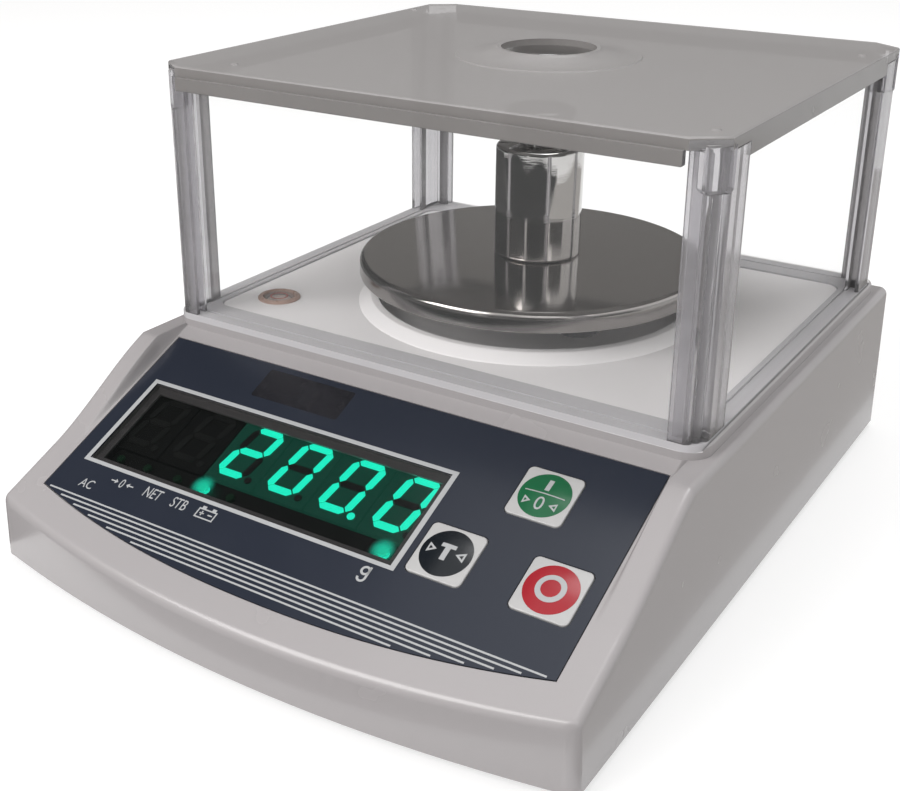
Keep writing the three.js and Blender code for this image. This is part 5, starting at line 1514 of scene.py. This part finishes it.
fluid = lathe([
    (0, level_bottom), (fluid_radius, level_bottom),
    (fluid_radius, fluid_top), (bubble_radius, fluid_top), (bubble_radius * 0.85, fluid_top - 0.45),
    (bubble_radius * 0.4, fluid_top - 0.75), (0, fluid_top - 0.8),
], level_x, level_y)
piece("level_liquid_body", fluid, "housing", [level_fluid], ["level_liquid"])
mark = moved(prism(circle(level_x, level_y, circle_outer), 0, circle_thickness,
                   [circle(level_x, level_y, circle_inner)]), Matrix.Translation((0, 0, vial_top)))
piece("level_circle", mark, "housing", [level_mark])
print("level at", round(level_x, 1), round(level_y, 1))

# %% [markdown]
# The shield's base frame is a flat clear moulding with a groove run round it.
# One outline drawn at several distances from the edge gives the plate, its opening and the groove.
# %% Build the shield's frame
groove_inset = 4.2
groove_width = 0.8
groove_depth = 0.7


def frame_outline(inset):
    return rounded_rectangle(-shield_half_width + inset, shield_half_width - inset, shield_front + inset,
                             shield_rear - inset, frame_radius)


def shield_frame():
    opening = rounded_rectangle(-shield_half_width + frame_side_band, shield_half_width - frame_side_band,
                                shield_front + frame_end_band, shield_rear - frame_end_band, frame_radius)
    plate = prism(frame_outline(0), frame_bottom, frame_top, [opening])
    groove = prism(frame_outline(groove_inset), frame_top - groove_depth, frame_top + overrun,
                   [frame_outline(groove_inset + groove_width)])
    return cut(plate, groove)


piece("shield_frame", shield_frame(), "shield", [frame_clear], ["shield_base"], True)
print("frame", round(2 * shield_half_width, 1), "mm wide")

# %% [markdown]
# The lid's corners are cut off, and behind each cut a tongue hangs down into the corner post.
# A tongue is a small plate that stands on the cut's own line, so it is drawn upright and flat first,
# with its two lower corners rounded, and then turned onto that line.
# %% Draw the tongues of the lid
lid_overhang = 2
lid_top = 134.5
lid_thickness = 3.2
lid_under = lid_top - lid_thickness
lid_front = shield_front - lid_overhang
lid_rear = shield_rear + lid_overhang
cut_width = 4.6
front_cut = 6.2
rear_cut = 6
tongue_length = 13.5
tongue_top = 132.6
tongue_thickness = 3.2
tongue_radius = 1.2
tongue_proud = 0.5


def corner_line(side_x, side_y):
    """Start and length of a post's corner cut, the way along it and the way out of it."""
    end = shield_front if side_y < 0 else shield_rear
    depth = front_cut if side_y < 0 else rear_cut
    across = Vector((side_x * (shield_half_width - cut_width), end, 0))
    along = Vector((side_x * shield_half_width, end - side_y * depth, 0))
    run = (along - across).normalized()
    outward = Vector((side_x * abs(run.y), side_y * abs(run.x), 0))
    return across, (along - across).length, run, outward


def tongue(side_x, side_y, margin, top):
    start, length, run, outward = corner_line(side_x, side_y)
    bottom = lid_top - tongue_length - margin
    radius = tongue_radius + margin
    near = -margin
    far = length + margin
    outline = [(far, top), (near, top)]
    outline += [(near + radius * (1 - math.cos(turn)), bottom + radius * (1 - math.sin(turn)))
                for turn in arc_steps(6)]
    outline += [(far - radius * (1 - math.cos(turn)), bottom + radius * (1 - math.sin(turn)))
                for turn in reversed(arc_steps(6))]
    plate = prism(outline, -tongue_thickness - margin, tongue_proud)
    place = Matrix.Identity(4)
    for row in range(3):
        place[row][0] = run[row]
        place[row][1] = 1 if row == 2 else 0
        place[row][2] = outward[row]
        place[row][3] = start[row]
    shape = moved(plate, place)
    bmesh.ops.recalc_face_normals(shape, faces=shape.faces)
    return shape


corner_names = {(-1, -1): "front_left", (1, -1): "front_right", (-1, 1): "rear_left", (1, 1): "rear_right"}
print("tongue hangs to", lid_top - tongue_length)

# %% [markdown]
# A corner post is an L section with a fluted outer cut and a slot in each leg for a panel.
# The flutes are half waves along the cut, so one sine draws them.
# %% Cut the corner posts
lobe = 0.6
lobe_count = 3
post_width = 9
post_depth = 16
post_leg = 4.5
panel_thickness = 1.8
panel_inset = 1.5
panel_grip = 3.5
shield_top = lid_under - clearance


def fluted(start, end, outward, steps=36):
    points = []
    for k in range(steps + 1):
        share = k / steps
        bulge = lobe * abs(math.sin(lobe_count * math.pi * share))
        points.append((start[0] + (end[0] - start[0]) * share + outward[0] * bulge,
                       start[1] + (end[1] - start[1]) * share + outward[1] * bulge))
    return points


def post(side_x, side_y):
    depth = front_cut if side_y < 0 else rear_cut
    slope = math.hypot(cut_width, depth)
    slot_near = panel_inset - clearance
    slot_far = panel_inset + panel_thickness + clearance
    section = fluted((cut_width, 0), (0, depth), (-depth / slope, -cut_width / slope)) + [
        (0, post_depth), (slot_near, post_depth), (slot_near, post_depth - panel_grip - clearance),
        (slot_far, post_depth - panel_grip - clearance), (slot_far, post_depth), (post_leg, post_depth),
        (post_leg, post_leg), (post_width, post_leg), (post_width, slot_far),
        (post_width - panel_grip - clearance, slot_far), (post_width - panel_grip - clearance, slot_near),
        (post_width, slot_near), (post_width, 0),
    ]
    end_y = shield_front if side_y < 0 else shield_rear
    outline = [(side_x * (shield_half_width - x), end_y - side_y * y) for x, y in section]
    room = tongue(side_x, side_y, clearance, lid_top)
    whole = cut(prism(outline, frame_top, shield_top), room)
    # Faces of the panel slots take the darker finish: painted shade.
    for face in whole.faces:
        x, y, z = face.calc_center_median()
        across = shield_half_width - abs(x)
        along = abs(end_y - y)
        in_side_slot = slot_near <= across <= slot_far and along > post_depth - panel_grip - 2 * clearance
        in_front_slot = slot_near <= along <= slot_far and across > post_width - panel_grip - 2 * clearance
        face.material_index = 1 if in_side_slot or in_front_slot else 0
    return whole


for (side_x, side_y), corner in corner_names.items():
    piece(f"post_{corner}", post(side_x, side_y), "shield", [post_clear, post_slot],
          [f"shield_post_{corner}"], True)
print("posts:", len(corner_names))

# %% [markdown]
# The lid is a cloudy plate flush with the posts' outer sides. Between the posts a thin skirt hangs from it,
# and a flared collar stands round the charging hole, with four small moulding pips on the plate.
# %% Sizes and outline of the lid
lid_edge = 0.7
plate_cut_width = 8.4
skirt_height = 7
skirt_wall = 2
skirt_edge = 0.25
skirt_ledge = 1.2
collar_step = 0.35
rim_wall = 2
hole_x = 2.6
hole_y = 35
hole_radius = 14.5
hole_rim_height = 2.6
hole_rim_width = 1.4
hole_foot_radius = 28
hollow_radius = 19.5
pip_places = [(-66.6, -29.6), (-83.8, 91.2), (82.2, 86.8), (82, -30.5)]
pip_radius = 1.3
pip_height = 0.5


def lid_outline(inset):
    x = shield_half_width - inset
    y0 = lid_front + inset
    y1 = lid_rear - inset
    across = x - plate_cut_width
    return [(across, y0), (x, y0 + front_cut), (x, y1 - rear_cut), (across, y1),
            (-across, y1), (-x, y1 - rear_cut), (-x, y0 + front_cut), (-across, y0)]


def skirt_strip(x0, x1, y0, y1):
    bottom = lid_top - skirt_height
    return levels(lambda inset: rectangle(x0 + inset, x1 - inset, y0 + inset, y1 - inset),
                  [(bottom, skirt_edge), (bottom + skirt_edge, 0), (lid_under + 0.1, 0)])


print("lid's corner cut:", plate_cut_width, "by", front_cut, "and pips:", len(pip_places))

# %% [markdown]
# The lid's solids are joined first: plate, skirt, tongues, collar and pips. The hole is cut last, so that
# it is clean through all of them. Faces that look sideways or down get a darker copy of the cloudy finish,
# which is painted shade, and the tongues get the clear finish of the posts.
# %% Join the lid


def lid():
    edge = rounded_edge(lid_top, lid_edge, 4)
    plate = levels(lid_outline, [(lid_under, 0), *edge])
    across = shield_half_width - post_width - clearance
    front = lid_front - skirt_ledge
    rear = lid_rear + skirt_ledge
    y0 = shield_front + post_depth + clearance
    y1 = shield_rear - post_depth - clearance
    skirt = [
        skirt_strip(-across, across, front, front + skirt_wall),
        skirt_strip(-across, across, rear - skirt_wall, rear),
        skirt_strip(shield_half_width - skirt_wall, shield_half_width, y0, y1),
        skirt_strip(-shield_half_width, -shield_half_width + skirt_wall, y0, y1),
    ]
    tongues = [tongue(side_x, side_y, 0, tongue_top) for side_x, side_y in corner_names]
    rim_top = lid_top + hole_rim_height
    rim_outer = hole_radius + hole_rim_width
    flare = []
    hollow = []
    for k in range(13):
        share = k / 12
        flare.append((hole_foot_radius + (rim_outer - hole_foot_radius) * share,
                      lid_top + collar_step + (hole_rim_height - collar_step - 0.3) * share * share))
        hollow.append((hollow_radius + (hole_radius - hollow_radius) * share,
                       lid_under + (rim_top - rim_wall - lid_under) * share * share))
    collar = lathe([(0, lid_under), (hole_foot_radius, lid_under),
                    (hole_foot_radius + collar_step, lid_top), *flare, (rim_outer - 0.3, rim_top),
                    (0, rim_top)], hole_x, hole_y, 144)
    bore = lathe([(0, lid_under - overrun), (hollow_radius, lid_under - overrun), *hollow,
                  (hole_radius, rim_top + overrun), (0, rim_top + overrun)], hole_x, hole_y, 144)
    pips = [lathe([(0, lid_under + 1), (pip_radius, lid_under + 1), (pip_radius, lid_top),
                   (pip_radius * 0.7, lid_top + pip_height * 0.8), (0, lid_top + pip_height)], x, y, 24)
            for x, y in pip_places]
    whole = cut(joined(plate, *skirt, *tongues, collar, *pips), bore)
    for face in whole.faces:
        x, y, z = face.calc_center_median()
        at_corner = abs(x) > across and not y0 < y < y1
        if at_corner and z < tongue_top:
            face.material_index = 2
        # Faces that look sideways or down take the darker copy: painted shade.
        elif face.normal.z < 0.3:
            face.material_index = 1
        else:
            face.material_index = 0
    return whole


lid_finishes = [frosted, lid_painted_shade, post_clear]
piece("lid_moulding", lid(), "lid", lid_finishes, ["shield_lid"], True)
print("lid", 2 * shield_half_width, "by", round(lid_rear - lid_front, 1))

# %% [markdown]
# A levelling foot has a knurled knob. The knurl is one ridge repeated round the knob,
# so Geometry Nodes place it on a circle of points.
# %% Make the feet
knurl_count = 36
knurl_ridge = 0.5
foot_knob_radius = 8.5
foot_knob_height = 3.8
foot_knob_edge = 0.4
pad_radius = 8
pad_edge = 0.4
pad_bore = 2.8
pad_floor = 0.7
thread_radius = 3
thread_turns = 6
ridge_sides = 8


def knurl_group():
    group, given, result = new_group("foot_knurl", {
        "Count": "Int",
        "Radius": "Float",
        "Ridge": "Float",
        "Height": "Float",
        "Material": "Material",
    })
    inputs = {"Vertices": given["Count"], "Radius": given["Radius"]}
    ring = add_node(group, "GeometryNodeMeshCircle", inputs).outputs[0]
    inputs = {"Vertices": ridge_sides, "Radius": given["Ridge"], "Depth": given["Height"]}
    ridge = add_node(group, "GeometryNodeMeshCylinder", inputs).outputs["Mesh"]
    return set_on_points(group, given, result, ring, ridge)


def foot_pad(x, y, top):
    edge = pad_radius - pad_edge
    return lathe([(0, 0), (edge, 0), (pad_radius, 0.35), (pad_radius, top - pad_edge), (edge, top),
                  (pad_bore, top), (pad_bore, pad_floor), (0, pad_floor)], x, y)


def foot_knob(x, y, low, high, knob_low, knurl):
    """Knob with its knurl under a threaded stem."""
    knob_high = knob_low + foot_knob_height
    edge = foot_knob_radius - foot_knob_edge
    ridges = grown("ridges", knurl, {
        "Count": knurl_count,
        "Radius": foot_knob_radius - 0.1,
        "Ridge": knurl_ridge,
        "Height": foot_knob_height - 0.6,
        "Material": dark_plastic,
    })
    middle = Matrix.Translation((x, y, (knob_low + knob_high) / 2))
    profile = [(0, low), (2.5, low), (2.5, knob_low), (edge, knob_low),
               (foot_knob_radius, knob_low + foot_knob_edge),
               (foot_knob_radius, knob_high - foot_knob_edge), (edge, knob_high),
               (thread_radius, knob_high)]
    for k in range(thread_turns):
        start = knob_high + (high - knob_high) * k / thread_turns
        profile += [(thread_radius, start + 0.2), (2.6, start + 0.55), (thread_radius, start + 0.9)]
    profile += [(2.7, high), (0, high)]
    return gathered(lathe(profile, x, y, 48), moved(ridges, middle))


knurl = knurl_group()
for corner in corner_names.values():
    low, high = box_of(f"foot_pad_{corner}")
    x, y = (low.x + high.x) / 2, (low.y + high.y) / 2
    pad = foot_pad(x, y, high.z)
    piece(f"pad_{corner}", pad, f"foot_{corner}", [rubber], [f"foot_pad_{corner}"])
    screw_low, screw_high = box_of(f"foot_screw_{corner}")
    knob = foot_knob(x, y, screw_low.z, screw_high.z, high.z + clearance, knurl)
    piece(f"knob_{corner}", knob, f"screw_{corner}", [dark_plastic],
          [f"foot_screw_{corner}"])
print("feet:", len(corner_names), "ridges each:", knurl_count)

# %% [markdown]
# The construction's own nodes that are right as they are stay in view and get their finish.
# A finish goes to every node whose name starts with the words given here.
# %% Finish the nodes that stay
node_finish = {
    "lower_housing": inner_casing,
    "battery_door": inner_casing,
    "battery_pack": dark_plastic,
    "power_socket": dark_plastic,
    "display_board": circuit,
    "main_board": circuit,
    "load_cell_base": plain_steel,
    "load_cell_screw": plated,
    "load_cell": bare_aluminium,
    "carrier_bracket": bare_aluminium,
    "carrier_pad": rubber,
    "pan_carrier": dark_plastic,
    "overload_stop": plated,
    "housing_screw": plated,
    "bracket_screw": plated,
    "shield_panel": panel_clear,
}
kept_nodes = {name: node for name, node in nodes.items() if not node.hide_render}
for name, node in kept_nodes.items():
    start = next(start for start in node_finish if name.startswith(start))
    node.data.materials.clear()
    node.data.materials.append(node_finish[start])
print("nodes in view:", len(kept_nodes))
